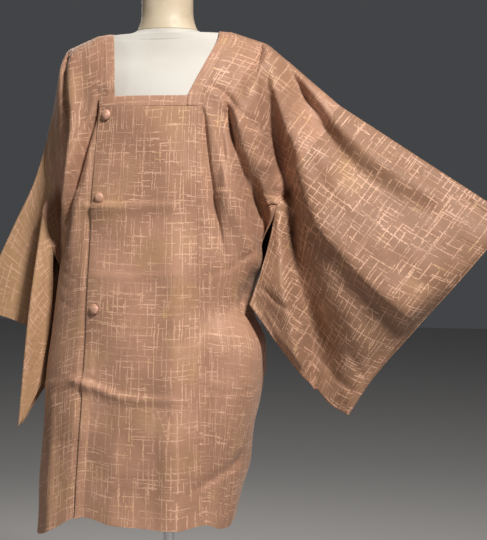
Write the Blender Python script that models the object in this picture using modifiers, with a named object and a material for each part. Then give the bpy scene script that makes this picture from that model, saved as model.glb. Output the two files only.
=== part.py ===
"""A michiyuki kimono coat worn by a limbless dress form on a pole and a round base.

Metres, +Z up, front towards -Y, the wearer's left towards +X. The origin is the centre of the
base's underside. Every piece of cloth is a thin wall over a surface worked out below.
"""

import math

import bmesh
import bpy
import numpy as np
from mathutils import Vector

# Cloth and seams
WALL = 0.0016  # thickness of the worn cloth, shell and facing together
SEAM = 0.0004  # space between two pieces at a seam
LAP = 0.0045  # distance from the upper front to the under front
OVERLAP_TURN = 30.0  # how far round from the centre front an overlap reaches, in degrees
MERGE = 0.00001  # points closer than this are one

# Shoulders, neck and arms
NECK_HALF = 0.118  # centre to the outer edge of the neck band, on the shoulder
NECK_RIDGE = 1.3745  # height of the shoulder fold there
SHOULDER_HALF = 0.183  # centre to the tip of the shoulder
SHOULDER_TIP = 1.352  # height of the tip
BAND = 0.018  # width of the neck band
BAND_SIDE = 0.085  # centre to the outer edge of the neck band at the bust, and to the front seam
BAND_FOOT = 1.240  # height of the lower edge of the neck band
BACK_NECK = 1.352  # height of the back neck seam at the centre
BUST = 1.10  # height below which the body hangs straight down
SLIT_FOOT = 0.93  # height at which the side seam starts
ARM_TO_SEAM = 0.168  # shoulder tip to the sleeve seam, along the fold of the arm
SLEEVE_DEPTH = 0.48  # from the fold at the top of a sleeve to its foot
SLEEVE_LENGTH = 0.34  # from the sleeve seam to the cuff
WRIST = 0.54  # share of the cuff that is left open for the hand, from the fold down
RIDGE = 0.060  # height of the long ridge across the middle of the raised sleeve
ARMHOLE = 0.43  # share of the sleeve's depth that is sewn to the body

# Dress form
POLE_RADIUS = 0.0097
FORM_FOOT = 0.72  # height of the flat underside of the torso
BASE_RADIUS = 0.180
BASE_THICK = 0.014
NECK_TOP = 1.452
CAP_THICK = 0.010
FOLD_RADIUS = 0.0026  # how round the cloth is where it turns back on itself
REST = 0.0010  # space between the form's shoulder and the cloth that rests on it

BUTTON_RADIUS = 0.0090
BUTTON_THICK = 0.0055
BUTTON_HEIGHTS = (1.226, 1.084, 0.892)

# Level sections of the hanging body, one a row
# height, right side, left side, reach to the front, reach to the back, squareness
SECTIONS = (
    (0.470, -0.243, 0.112, 0.140, 0.124, 2.4),
    (0.560, -0.236, 0.133, 0.139, 0.120, 2.4),
    (0.660, -0.229, 0.151, 0.138, 0.116, 2.4),
    (0.780, -0.219, 0.174, 0.136, 0.113, 2.4),
    (0.830, -0.212, 0.176, 0.135, 0.112, 2.4),
    (0.893, -0.203, 0.152, 0.133, 0.111, 2.4),
    (0.970, -0.193, 0.168, 0.131, 0.110, 2.4),
    (1.060, -0.186, 0.172, 0.129, 0.112, 2.4),
    (1.120, -0.186, 0.176, 0.127, 0.114, 2.4),
    (1.400, -0.186, 0.180, 0.127, 0.114, 2.4),
)

# Edge of the upper front, from the hem up to the neck band: height, x
LAP_EDGE = ((0.500, -0.1350), (0.720, -0.1200), (0.910, -0.1100), (1.050, -0.1040), (1.240, -0.0900))

# The hem round the body: angle from the front with the wearer's left positive, height
HEM = (
    (-180, 0.500), (-120, 0.492), (-90, 0.487), (-60, 0.482), (-42, 0.503), (-28, 0.526),
    (-12, 0.519), (10, 0.515), (35, 0.514), (60, 0.503), (90, 0.506), (130, 0.498), (180, 0.500),
)

# Rows of cloth from the shoulder fold (0) to the bust (1)
NECK_DROP = (NECK_RIDGE - BACK_NECK) / (NECK_RIDGE - BUST)
BAND_DROP = (NECK_RIDGE - BAND_FOOT) / (NECK_RIDGE - BUST)
NECK_ROWS = [NECK_DROP * share for share in (0.0, 0.15, 0.45, 0.72, 0.90, 1.0)]

# Each arm: the way its fold runs from the shoulder tip, its underarm, and the level row at the bust
# as share of the way out, x, y
LEFT = {
    "sign": 1,
    "rows": NECK_ROWS + [0.15, 0.24, 0.36, BAND_DROP, 0.61, 0.74, 0.87, 1.0],
    "arm": (0.127, 0.0, -0.1085),
    "neckline": (
        (1.2400, 0.0850), (1.2600, 0.0868), (1.2800, 0.0950), (1.3000, 0.1042), (1.3200, 0.1130),
        (1.3400, 0.1208), (1.3550, 0.1248), (1.3670, 0.1235), (1.3745, 0.1180),
    ),
    "underarm": (0.202, -0.012, 1.071),
    "underarm_back": (0.203, 0.030, 1.071),
    "front_row": (
        (0.00, 0.085, None), (0.32, 0.130, -0.112), (0.52, 0.156, -0.078), (0.74, 0.166, -0.040),
    ),
    "back_row": (
        (0.00, 0.0008, None), (0.50, 0.110, 0.100), (0.72, 0.158, 0.078), (0.86, 0.178, 0.052),
    ),
}
RIGHT = {
    "sign": -1,
    "rows": NECK_ROWS
    + [0.15, 0.22, 0.30, 0.37, 0.43, BAND_DROP, 0.53, 0.58, 0.62, 0.66, 0.72, 0.80, 0.90, 1.0],
    "arm": (-0.0445, 0.0, -0.159),
    "neckline": (
        (1.2400, 0.0850), (1.2600, 0.0805), (1.2800, 0.0820), (1.3000, 0.0845), (1.3200, 0.0880),
        (1.3400, 0.0926), (1.3550, 0.0975), (1.3670, 0.1050), (1.3745, 0.1180),
    ),
    "underarm": (-0.203, -0.044, 1.000),
    "underarm_back": (-0.206, 0.030, 1.000),
    "front_row": (
        (0.00, -0.085, None), (0.32, -0.140, -0.108), (0.55, -0.178, -0.062), (0.76, -0.190, -0.036),
    ),
    "back_row": (
        (0.00, -0.0008, None), (0.50, -0.110, 0.100), (0.72, -0.165, 0.078), (0.86, -0.190, 0.052),
    ),
}

# Large folds, as straight runs seen from the front or the back, one a row, out from the body positive
# x and z at the start, x and z at the end, half width there and there, depth there and there
FRONT_FOLDS = (
    (0.096, 1.240, 0.125, 0.980, 0.013, 0.018, -0.010, -0.008),
    (0.125, 1.262, 0.180, 1.195, 0.006, 0.009, -0.007, -0.005),
    (0.178, 1.340, 0.160, 1.060, 0.016, 0.018, 0.004, 0.006),
    (-0.110, 1.222, -0.158, 1.060, 0.008, 0.016, -0.006, -0.010),
    (-0.112, 1.190, -0.182, 1.000, 0.010, 0.016, 0.005, 0.007),
    (0.156, 0.629, 0.080, 0.580, 0.010, 0.010, -0.008, -0.005),
    (0.088, 0.900, 0.086, 0.515, 0.010, 0.012, 0.003, 0.006),
    (-0.183, 0.720, -0.194, 0.480, 0.012, 0.014, 0.004, 0.007),
    (0.150, 0.905, 0.085, 0.850, 0.020, 0.024, -0.007, -0.003),
)
BACK_FOLDS = (
    (-0.060, 1.250, -0.090, 0.800, 0.022, 0.030, -0.004, -0.009),
    (0.050, 1.180, 0.085, 0.560, 0.022, 0.034, -0.004, -0.010),
    (0.130, 1.120, 0.120, 0.620, 0.018, 0.026, 0.004, 0.008),
    (-0.140, 1.080, -0.165, 0.520, 0.018, 0.026, 0.004, 0.009),
)
# Folds that fan out from the tip of the raised left shoulder, over the body and the sleeve
FAN_FOLDS = (
    (0.184, 1.345, 0.262, 0.770, 0.018, 0.030, -0.003, -0.048),
    (0.192, 1.338, 0.330, 0.840, 0.010, 0.040, 0.004, 0.030),
    (0.255, 1.249, 0.450, 1.080, 0.011, 0.022, -0.014, -0.006),
    (0.200, 1.320, 0.440, 0.920, 0.010, 0.030, 0.004, 0.008),
)


def smooth_step(share):
    share = min(1.0, max(0.0, share))
    return share * share * (3.0 - 2.0 * share)


def mix(first, last, share):
    return first + (last - first) * share


def table_at(rows, place):
    """The other columns of a table at this place in its first column, on a smooth curve."""
    rows = np.array(rows, float)
    stations, values = rows[:, 0], rows[:, 1:]
    slopes = np.gradient(values, stations, axis=0)
    place = min(max(place, stations[0]), stations[-1])
    i = int(np.clip(np.searchsorted(stations, place) - 1, 0, len(stations) - 2))
    span = stations[i + 1] - stations[i]
    t = (place - stations[i]) / span
    return (
        values[i] * (1 + 2 * t) * (1 - t) ** 2
        + slopes[i] * span * t * (1 - t) ** 2
        + values[i + 1] * t * t * (3 - 2 * t)
        + slopes[i + 1] * span * t * t * (t - 1)
    )


def fold_depth(rows, x, z):
    """How far the folds of a table move the cloth out at one place."""
    total = 0.0
    for x0, z0, x1, z1, wide0, wide1, deep0, deep1 in rows:
        run_x, run_z = x1 - x0, z1 - z0
        length = math.hypot(run_x, run_z)
        along = ((x - x0) * run_x + (z - z0) * run_z) / length**2
        aside = ((x - x0) * run_z - (z - z0) * run_x) / length
        share = min(1.0, max(0.0, along))
        beyond = max(0.0, along - 1.0, -along) * length
        wide = mix(wide0, wide1, share)
        total += mix(deep0, deep1, share) * math.exp(-((aside / wide) ** 2) - (beyond / (2.0 * wide)) ** 2)
    return total


# The hanging body


def level(angle, height, out=0.0):
    """A point of the level section: 0 degrees is the front, 90 the wearer's left."""
    right, left, front, back, square = table_at(SECTIONS, height)
    middle, half = (left + right) / 2, (left - right) / 2
    turn = math.radians(angle)
    side, ahead = math.sin(turn), math.cos(turn)
    x = middle + half * math.copysign(abs(side) ** (2 / square), side)
    y = -front * ahead ** (2 / square) if ahead > 0 else back * abs(ahead) ** (2 / square)
    rows = FRONT_FOLDS if ahead > 0 else BACK_FOLDS
    out += fold_depth(rows, x, height) * smooth_step(abs(ahead) / 0.25)
    sideways = 1.0 - smooth_step(abs(ahead) / 0.6)
    away = Vector((math.copysign(sideways, side), -math.copysign(1.0 - sideways, ahead), 0.0)).normalized()
    return Vector((x, y, height)) + away * out


def angle_of(x, height, face, sign=0):
    """The angle at which the level section passes this x, on the front (1) or the back (-1).
    A sign gives the side from which the angle is counted on the back."""
    right, left, _, _, square = table_at(SECTIONS, height)
    middle, half = (left + right) / 2, (left - right) / 2
    share = min(1.0, abs(x - middle) / half)
    angle = math.degrees(math.asin(share ** (square / 2)))
    angle = math.copysign(angle, x - middle)
    if face > 0:
        return angle
    return math.copysign(180.0, sign or angle) - angle


def ridge_height(x):
    """Height of the shoulder fold, straight from the neck to the tip."""
    slope = (SHOULDER_TIP - NECK_RIDGE) / (SHOULDER_HALF - NECK_HALF)
    return NECK_RIDGE + slope * (abs(x) - NECK_HALF) if abs(x) > NECK_HALF else NECK_RIDGE


def rise(height, foot, top):
    """How much of its depth the cloth keeps between the bust and the shoulder fold."""
    share = min(1.0, max(0.0, (height - foot) / (top - foot)))
    return (1.0 - share**2.6) ** (1 / 2.6)


def chest(x, height, face, out=0.0):
    """A point of the front (1) or back (-1) near the centre, at any height."""
    foot = level(angle_of(x, min(height, BUST), face), min(height, BUST), out)
    if height <= BUST:
        return Vector((x, foot.y, height))
    rows = FRONT_FOLDS if face > 0 else BACK_FOLDS
    bump = fold_depth(rows, x, height) - fold_depth(rows, x, BUST)
    depth = (abs(foot.y) + bump) * rise(height, BUST, max(ridge_height(x), height))
    return Vector((x, -face * depth, height))


def lap_edge(height):
    return float(table_at(LAP_EDGE, height)[0])


def hem_height(angle):
    return float(table_at(HEM, angle)[0])


def fold_round(from_fold):
    """Half the space between two layers of cloth at this distance from their fold."""
    gone = min(1.0, max(0.0, from_fold / FOLD_RADIUS))
    return FOLD_RADIUS * math.sqrt(gone * (2.0 - gone))


def tuck(x, height):
    """How far the under front lies behind the upper one near and past the upper one's edge."""
    beside_edge = smooth_step((x - lap_edge(height) + 0.014) / 0.012)
    return LAP * beside_edge * smooth_step((BAND_FOOT + 0.040 - height) / 0.020)


# Shoulders and armholes


def shoulder_fold(arm, share):
    """The fold over the shoulder and down the arm, from the neck band to the sleeve seam."""
    sign = arm["sign"]
    on_shoulder = math.hypot(SHOULDER_HALF - NECK_HALF, NECK_RIDGE - SHOULDER_TIP)
    length = on_shoulder + ARM_TO_SEAM
    tip = Vector((sign * SHOULDER_HALF, 0.0, SHOULDER_TIP))
    inward = Vector((sign * (NECK_HALF - SHOULDER_HALF), 0.0, NECK_RIDGE - SHOULDER_TIP)).normalized()
    down_arm = Vector(arm["arm"]).normalized()
    gone = share * length - on_shoulder
    corner = 0.010
    if abs(gone) >= corner:
        return tip + (down_arm * gone if gone > 0 else inward * -gone)
    t = (gone + corner) / (2 * corner)
    return tip + inward * corner * (1 - t) ** 2 + down_arm * corner * t**2


def fan_depth(arm, x, z):
    """Folds that fan out from the raised shoulder; the lowered arm has its own in its edges."""
    if arm["sign"] < 0:
        return 0.0
    from_tip = math.hypot(x - SHOULDER_HALF, z - SHOULDER_TIP)
    return fold_depth(FAN_FOLDS, x, z) * smooth_step(from_tip / 0.05)


def armhole(arm, share, face):
    """The sleeve seam, from the fold at the top (0) to the underarm (1)."""
    top = shoulder_fold(arm, 1.0)
    if arm["sign"] < 0:
        return right_layer(share, 0.0, face)
    under = Vector(arm["underarm"] if face > 0 else arm["underarm_back"])
    point = top.lerp(under, share)
    full = 0.026 * math.sin(math.pi * min(1.0, share)) ** 0.7
    point.y -= face * full
    point.y -= fan_depth(arm, point.x, point.z) * smooth_step((1 - share) / 0.2)
    return point


def bust_row(arm, share, face):
    """The level row at the bust, from the inner edge (0) to the underarm (1)."""
    rows = [list(row) for row in arm["front_row" if face > 0 else "back_row"]]
    under = arm["underarm" if face > 0 else "underarm_back"]
    rows.append([1.0, under[0], under[1]])
    rows[0][2] = chest(rows[0][1], BUST, face).y
    x, y = table_at(rows, share)
    y = mix(chest(x, BUST, face).y, y, smooth_step((share - 0.16) / 0.20))
    height = mix(BUST, under[2], smooth_step((share - 0.35) / 0.65))
    return Vector((x, y, height))


def upper_body(arm, share, drop, face):
    """The cloth between the shoulder fold (drop 0) and the bust (drop 1)."""
    top, foot = shoulder_fold(arm, share), bust_row(arm, share, face)
    height = mix(top.z, foot.z, drop)
    hang = (1.0 - drop) ** mix(1.7, 1.0, smooth_step(share))
    x = mix(foot.x, top.x, hang)
    # near the inner edge the cloth lies in the chest's own surface
    near = 1.0 - smooth_step((share - 0.16) / 0.24)
    plain = mix(bust_row(arm, 0.0, face).x, arm["sign"] * NECK_HALF, (1.0 - drop) ** 1.7)
    inner_height = mix(NECK_RIDGE, BUST, drop)
    inner = front_inner(arm, inner_height) if face > 0 else back_inner(arm, drop)
    x += (inner - plain) * (near if face > 0 else 1.0 - smooth_step(share / 0.6))
    point = Vector((x, foot.y * rise(height, foot.z, top.z), height))
    if near > 0:
        point = point.lerp(chest(x, height, face), near)
    far = smooth_step((share - 0.25) / 0.45)
    point.y -= fan_depth(arm, point.x, point.z) * far * (1 - smooth_step((drop - 0.8) / 0.2))
    if share > 0.75:
        seam = armhole(arm, drop, face)
        point = point.lerp(seam, smooth_step((share - 0.75) / 0.25))
    if arm["sign"] < 0 < face:
        point.y += tuck(point.x, point.z)
    return point


def front_inner(arm, height):
    """Inner edge of the front length: down the neck band, then down the front seam."""
    return arm["sign"] * table_at(arm["neckline"], height)[0]


def back_inner(arm, drop):
    """Inner edge of the back length: round the neck, then down the centre seam."""
    share = min(1.0, drop / NECK_DROP)
    return arm["sign"] * mix(2 * SEAM, NECK_HALF, math.sqrt(max(0.0, 1.0 - share**2.2)))


def lower_body(arm, share, drop, face):
    """The cloth from the bust (drop 0) to the hem (drop 1)."""
    sign = arm["sign"]
    top = bust_row(arm, share, face)
    inner_x = sign * (BAND_SIDE if face > 0 else 2 * SEAM)
    inner = angle_of(inner_x, 0.8, face, sign)
    side = sign * (90.0 - (0.2 if face > 0 else -0.2))
    spread = share**0.9
    angle = mix(inner, side, spread)
    height = mix(top.z, hem_height(angle), drop)
    inner = angle_of(inner_x, height, face, sign)
    angle = mix(inner, side, spread)
    hung = level(angle, height)
    free = 1.0 - smooth_step((top.z - height) / (top.z - SLIT_FOOT))
    offset = top - level(mix(angle_of(inner_x, top.z, face, sign), side, spread), top.z)
    offset.z = 0.0
    offset *= free
    point = hung + offset
    if sign < 0 < face:
        point.y += tuck(point.x, point.z)
    gap = 0.5 * SEAM + 0.5 * WALL
    if share > 0.9 and height < SLIT_FOOT + 0.02:
        point.y = min(point.y, -gap) if face > 0 else max(point.y, gap)
    return point


# Mesh building


def materials():
    """One material for each finish: base colour, roughness, metallic."""
    finishes = {
        "coat_silk": ((0.45, 0.235, 0.155, 1.0), 0.55, 0.0),
        "form_canvas": ((0.80, 0.78, 0.74, 1.0), 0.80, 0.0),
        "form_cream": ((0.78, 0.70, 0.58, 1.0), 0.60, 0.0),
        "chrome": ((0.72, 0.73, 0.75, 1.0), 0.18, 1.0),
    }
    made = {}
    for name, (colour, rough, metal) in finishes.items():
        material = bpy.data.materials.new(name)
        material.use_nodes = True
        shader = material.node_tree.nodes["Principled BSDF"]
        shader.inputs["Base Color"].default_value = colour
        shader.inputs["Roughness"].default_value = rough
        shader.inputs["Metallic"].default_value = metal
        made[name] = material
    return made


def add_object(name, mesh, material, collection):
    obj = bpy.data.objects.new(name, mesh)
    mesh.materials.append(material)
    mesh.shade_smooth()
    collection.objects.link(obj)
    return obj


def sheet(name, place, across, along, material, collection, closed=False):
    """A wall of cloth: a grid whose columns and rows take these shares, laid by place(). A closed
    one is merged with itself where its points meet."""
    grid = bmesh.new()
    bmesh.ops.create_grid(grid, x_segments=len(across) - 1, y_segments=len(along) - 1, size=0.5)
    for vert in grid.verts:
        column = round((vert.co.x + 0.5) * (len(across) - 1))
        row = round((vert.co.y + 0.5) * (len(along) - 1))
        vert.co = place(across[column], along[row])
    if closed:
        bmesh.ops.remove_doubles(grid, verts=grid.verts, dist=MERGE)
    mesh = bpy.data.meshes.new(name)
    grid.to_mesh(mesh)
    grid.free()
    obj = add_object(name, mesh, material, collection)
    wall = obj.modifiers.new("wall", "SOLIDIFY")
    wall.thickness = WALL
    wall.offset = 0.0
    obj.modifiers.new("shading", "WEIGHTED_NORMAL")
    return obj


def shares(*stops):
    """Shares from pairs of a place and the number of steps up to it."""
    places = [0.0]
    for stop, steps in stops:
        start = places[-1]
        places += [mix(start, stop, (i + 1) / steps) for i in range(steps)]
    return places


# The pieces of the coat

# Columns from the inner edge out to the sleeve, and rows from below the bust (1) to the hem (2)
BODY_COLUMNS = [0.0, 0.09, 0.18, 0.27, 0.36, 0.45, 0.54, 0.62, 0.70, 0.77, 0.83, 0.89, 0.945, 1.0]
BODY_ROWS = [1.06, 1.13, 1.22, 1.32, 1.44, 1.56, 1.68, 1.80, 1.91, 2.0]


def body_length(name, arm, material, collection):
    """Front and back in one length over the shoulder, open for the arm down to the side seam."""

    def place(across, along):
        face = 1 if along < 0 else -1
        down = abs(along)
        if down <= 1.0:
            return upper_body(arm, across, down, face)
        return lower_body(arm, across, down - 1.0, face)

    down = arm["rows"] + BODY_ROWS
    along = [-share for share in reversed(down[1:])] + down
    return sheet(name, place, BODY_COLUMNS, along, material, collection)


def front_overlap(name, upper, material, collection):
    """The part of a front that crosses the centre: the left one lies over the right one."""

    def place(across, along):
        foot = hem_height(mix(-OVERLAP_TURN, OVERLAP_TURN, across))
        if upper:
            height = mix(BAND_FOOT - SEAM, foot, along)
            return chest(mix(lap_edge(height), BAND_SIDE - 3 * SEAM, across), height, 1)
        height = mix(BAND_FOOT - SEAM, foot + LAP, along)
        x = mix(-BAND_SIDE + 2 * SEAM, BAND_SIDE, across)
        return chest(x, height, 1) + Vector((0.0, LAP, 0.0))

    return sheet(name, place, shares((1.0, 10)), shares((1.0, 16)), material, collection)


def neck_band(name, arm, material, collection):
    """The narrow band from the bottom corner of the neckline, over the shoulder, to the back."""
    sign = arm["sign"]
    gap = 2 * SEAM

    def place(across, along):
        reach = BAND * (1.0 - across) + gap
        drop = abs(along)
        height = mix(NECK_RIDGE, BUST, drop)
        if along <= 0.0:
            height = max(height, BAND_FOOT + gap)
            outer = front_inner(arm, height)
            point = chest(outer - sign * reach, height, 1)
            point.z += reach * 0.10 * (1.0 - drop)
            if sign < 0:
                point.y += tuck(point.x, point.z)
            return point
        point = chest(back_inner(arm, drop), height, -1)
        inward = Vector((-point.x, 0.012 - point.y, 0.0)).normalized()
        stand = smooth_step(math.sqrt(drop / NECK_DROP))
        point += inward * reach * mix(1.0, 0.25, stand)
        point.z += reach * mix(0.10, 0.95, stand)
        point.x = sign * max(abs(point.x), 2 * SEAM)
        return point

    down = [drop for drop in arm["rows"] if drop <= BAND_DROP]
    round_ = [-drop for drop in reversed(down[1:])] + [drop for drop in down if drop <= NECK_DROP]
    return sheet(name, place, shares((1.0, 2)), round_, material, collection)


def bottom_band(material, collection):
    """The band across the foot of the square neckline, on the upper front."""

    def place(across, along):
        height = mix(BAND_FOOT + BAND, BAND_FOOT + SEAM, along)
        end = front_inner(LEFT, height) - BAND - 6 * SEAM
        return chest(mix(lap_edge(height), end, across), height, 1)

    return sheet("neck_band_front", place, shares((1.0, 8)), shares((1.0, 2)), material, collection)


def edge_patch(inner, cuff, top, foot, s, t):
    """A patch between four edges: s runs along the arm, t from the fold down."""
    ruled = (top(s) * (1 - t) + foot(s) * t) + (inner(t) * (1 - s) + cuff(t) * s)
    corners = (
        inner(0.0) * (1 - s) * (1 - t) + cuff(0.0) * s * (1 - t)
        + inner(1.0) * (1 - s) * t + cuff(1.0) * s * t
    )
    return ruled - corners


# Edges of the wearer's left sleeve, which is held out: share of the edge, x, y, z
LEFT_FURI = (
    (0.0, 0.202, -0.012, 1.071), (0.3, 0.193, -0.030, 1.010), (0.6, 0.182, -0.046, 0.960),
    (1.0, 0.163, -0.056, 0.900),
)
LEFT_FURI_BACK = ((0.0, 0.203, 0.030, 1.071), (0.5, 0.200, 0.045, 0.975), (1.0, 0.180, 0.020, 0.886))
LEFT_FOOT = (
    (0.0, 0.170, -0.020, 0.893), (0.25, 0.206, -0.030, 0.838), (0.5, 0.252, -0.012, 0.768),
    (0.75, 0.292, -0.010, 0.721), (1.0, 0.330, -0.014, 0.706),
)
LEFT_CUFF = (
    (0.0, 0.608, 0.000, 1.048), (0.15, 0.571, -0.018, 1.003), (0.32, 0.518, -0.024, 0.940),
    (0.54, 0.449, -0.012, 0.862), (0.85, 0.362, -0.010, 0.757), (1.0, 0.330, -0.014, 0.706),
)
LEFT_CUFF_BACK = (
    (0.0, 0.608, 0.000, 1.048), (0.15, 0.568, 0.010, 1.006), (0.32, 0.517, 0.012, 0.943),
    (0.54, 0.449, -0.012, 0.862), (1.0, 0.330, -0.014, 0.706),
)


def left_sleeve_point(s, t, face):
    arm = LEFT

    def inner(place):
        if place <= ARMHOLE:
            return armhole(arm, place / ARMHOLE, face)
        rows = LEFT_FURI if face > 0 else LEFT_FURI_BACK
        return Vector(table_at(rows, (place - ARMHOLE) / (1 - ARMHOLE)))

    def cuff(place):
        return Vector(table_at(LEFT_CUFF if face > 0 or place > WRIST else LEFT_CUFF_BACK, place))

    def top(place):
        return shoulder_fold(arm, 1.0).lerp(cuff(0.0), place)

    def foot(place):
        start, point = inner(1.0), Vector(table_at(LEFT_FOOT, place))
        point = point + (start - Vector(LEFT_FOOT[0][1:])) * (1 - place) ** 3
        return point

    point = edge_patch(inner, cuff, top, foot, s, t)
    belly = 0.018 * math.sin(math.pi * t) ** 0.8 * math.sin(math.pi * min(1.0, s * 1.02)) ** 0.8
    if face > 0:
        rising, falling = t / 0.46, (1 - t) / 0.54
        roof = max(0.0, -math.log(math.exp(-14 * rising) + math.exp(-14 * falling)) / 14)
        across = max(0.0, math.sin(math.pi * min(1.0, s * 1.01))) ** 0.55
        belly = mix(belly, RIDGE * roof * across, smooth_step(s / 0.25))
    point.y -= face * belly
    nearest_fold = SLEEVE_DEPTH * min(t, 1 - t)
    if t > WRIST:
        nearest_fold = min(nearest_fold, SLEEVE_LENGTH * (1 - s))
    point.y -= face * fold_round(nearest_fold) * smooth_step(s / 0.15)
    inside = smooth_step(s / 0.12) * smooth_step((1 - s) / 0.10)
    shallow = 1.0 - 0.4 * smooth_step((t - 0.7) / 0.3)
    point.y -= fan_depth(arm, point.x, point.z) * shallow * inside * smooth_step(t / 0.08)
    return point


# The right sleeve's fold lines, from the armhole down: how far round from the top fold (0) to the
# inner edge (1) each line lies, and the points that it passes at these shares of its length
RIGHT_LINES = (
    (0.00, ((0.0, -0.2283, 0.000, 1.1881), (0.25, -0.2552, 0.000, 1.1105), (0.5, -0.2942, 0.000, 1.0345),
            (0.75, -0.3330, 0.000, 0.9570), (1.0, -0.371, 0.000, 0.879))),
    (0.30, ((0.0, -0.232, 0.002, 1.135), (0.5, -0.262, 0.006, 0.990), (1.0, -0.283, 0.008, 0.851))),
    (0.50, ((0.0, -0.217, -0.004, 1.100), (0.25, -0.227, 0.010, 1.028), (0.5, -0.231, 0.020, 0.955),
            (1.0, -0.231, 0.040, 0.812))),
    (0.66, ((0.0, -0.220, -0.040, 1.068), (0.5, -0.242, -0.054, 0.885), (1.0, -0.259, -0.046, 0.691))),
    (1.00, ((0.0, -0.203, -0.038, 1.000), (0.5, -0.209, -0.034, 0.880), (1.0, -0.229, -0.043, 0.752))),
)
RIGHT_BACK_LINES = (
    (0.00, ((0.0, -0.2283, 0.000, 1.1881), (0.25, -0.2552, 0.000, 1.1105), (0.5, -0.2942, 0.000, 1.0345),
            (0.75, -0.3330, 0.000, 0.9570), (1.0, -0.371, 0.000, 0.879))),
    (0.30, ((0.0, -0.232, 0.024, 1.135), (0.5, -0.262, 0.026, 0.990), (1.0, -0.283, 0.029, 0.851))),
    (0.50, ((0.0, -0.222, 0.033, 1.100), (0.25, -0.229, 0.039, 1.028), (0.5, -0.222, 0.039, 0.955),
            (1.0, -0.216, 0.060, 0.812))),
    (0.66, ((0.0, -0.213, 0.034, 1.068), (0.25, -0.211, 0.000, 0.976), (0.5, -0.231, -0.040, 0.885),
            (1.0, -0.250, -0.037, 0.693))),
    (1.00, ((0.0, -0.206, 0.030, 1.000), (0.25, -0.206, 0.002, 0.940), (0.5, -0.212, -0.022, 0.880),
            (1.0, -0.227, -0.037, 0.753))),
)


def right_layer(round_, down, face):
    """A point of the right sleeve's front (1) or back (-1) layer."""
    lines = RIGHT_LINES if face > 0 else RIGHT_BACK_LINES
    point = Vector(table_at([(share, *table_at(line, down)) for share, line in lines], round_))
    point.y -= face * fold_round(round_ * mix(0.20, 0.31, down))
    return point


def left_sleeve(name, material, collection):
    """A tube of cloth, folded at the top, sewn at the foot and on the lower half of the cuff."""
    away = Vector(LEFT["arm"]).normalized() * SEAM * 4

    def place(across, along):
        if along <= 1.0:
            return left_sleeve_point(across, along, 1) + away
        return left_sleeve_point(across, 2.0 - along, -1) + away

    rows = [ARMHOLE * share for share in LEFT["rows"]] + [0.50, 0.58, 0.66, 0.75, 0.83, 0.90, 0.95, 1.0]
    round_ = rows + [2.0 - row for row in reversed(rows[:-1])]
    columns = shares((0.12, 2), (0.60, 8), (0.86, 3), (1.0, 2))
    return sheet(name, place, columns, round_, material, collection, closed=True)


def right_sleeve(name, material, collection):
    """A length of cloth folded over the lowered arm and pleated, its layers close at the foot."""
    away = Vector((-4 * SEAM, 0.0, -SEAM))
    round_ = [-share for share in reversed(RIGHT["rows"][1:])] + RIGHT["rows"]

    def place(around, down):
        return right_layer(abs(around), down, 1 if around <= 0.0 else -1) + away

    return sheet(name, place, round_, shares((1.0, 13)), material, collection)


# Buttons and the dress form


def button(name, height, material, collection):
    """A cloth-covered button: a domed disc lying on the upper front, by its edge."""
    x = lap_edge(height) + 0.0165
    here = chest(x, height, 1)
    across = chest(x + 0.006, height, 1) - chest(x - 0.006, height, 1)
    down = chest(x, height - 0.006, 1) - chest(x, height + 0.006, 1)
    out = across.cross(-down).normalized()
    if out.y > 0:
        out = -out
    profile = ((0.0, 0.0), (0.62, 0.0), (0.93, 0.16), (1.0, 0.42), (0.90, 0.72), (0.60, 0.93), (0.0, 1.0))
    disc = bmesh.new()
    for out_share, up_share in profile:
        disc.verts.new((out_share * BUTTON_RADIUS, 0.0, up_share * BUTTON_THICK))
    disc.verts.ensure_lookup_table()
    edges = [disc.edges.new((disc.verts[i], disc.verts[i + 1])) for i in range(len(profile) - 1)]
    bmesh.ops.spin(
        disc, geom=edges + list(disc.verts), cent=(0, 0, 0), axis=(0, 0, 1),
        angle=2 * math.pi, steps=16, use_merge=True,
    )
    bmesh.ops.remove_doubles(disc, verts=disc.verts, dist=MERGE)
    bmesh.ops.recalc_face_normals(disc, faces=disc.faces)
    turn = Vector((0, 0, 1)).rotation_difference(out).to_matrix().to_4x4()
    bmesh.ops.transform(disc, matrix=turn, verts=disc.verts)
    bmesh.ops.translate(disc, vec=here + out * (WALL / 2 + 1.3 * SEAM), verts=disc.verts)
    mesh = bpy.data.meshes.new(name)
    disc.to_mesh(mesh)
    disc.free()
    return add_object(name, mesh, material, collection)


FORM_SEGMENTS = 24
# Level rings of the dress form: height, half width, front, back, squareness
FORM_RINGS = (
    (FORM_FOOT, 0.140, 0.084, 0.082, 2.2),
    (0.730, 0.148, 0.090, 0.088, 2.2),
    (0.800, 0.150, 0.096, 0.092, 2.2),
    (0.880, 0.134, 0.090, 0.082, 2.1),
    (0.960, 0.112, 0.082, 0.066, 2.1),
    (1.020, 0.111, 0.086, 0.066, 2.1),
    (1.090, 0.130, 0.104, 0.078, 2.1),
    (1.150, 0.146, 0.114, 0.092, 2.1),
    (1.210, 0.151, 0.106, 0.094, 2.1),
    (1.260, 0.156, 0.094, 0.088, 2.1),
    (1.300, 0.161, 0.078, 0.076, 2.1),
    (1.328, 0.163, 0.060, 0.062, 2.1),
)
# half width, front, back on the slope of the shoulder
FORM_SHOULDER = (
    (0.160, 0.050, 0.044), (0.150, 0.049, 0.040), (0.132, 0.048, 0.040), (0.110, 0.0475, 0.042),
    (0.088, 0.0470, 0.046),
)
# the same on the flare to the neck, and height above the shoulder
FORM_NECK = ((0.066, 0.0465, 0.052, 0.0035), (0.055, 0.0460, 0.056, 0.0075))
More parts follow.
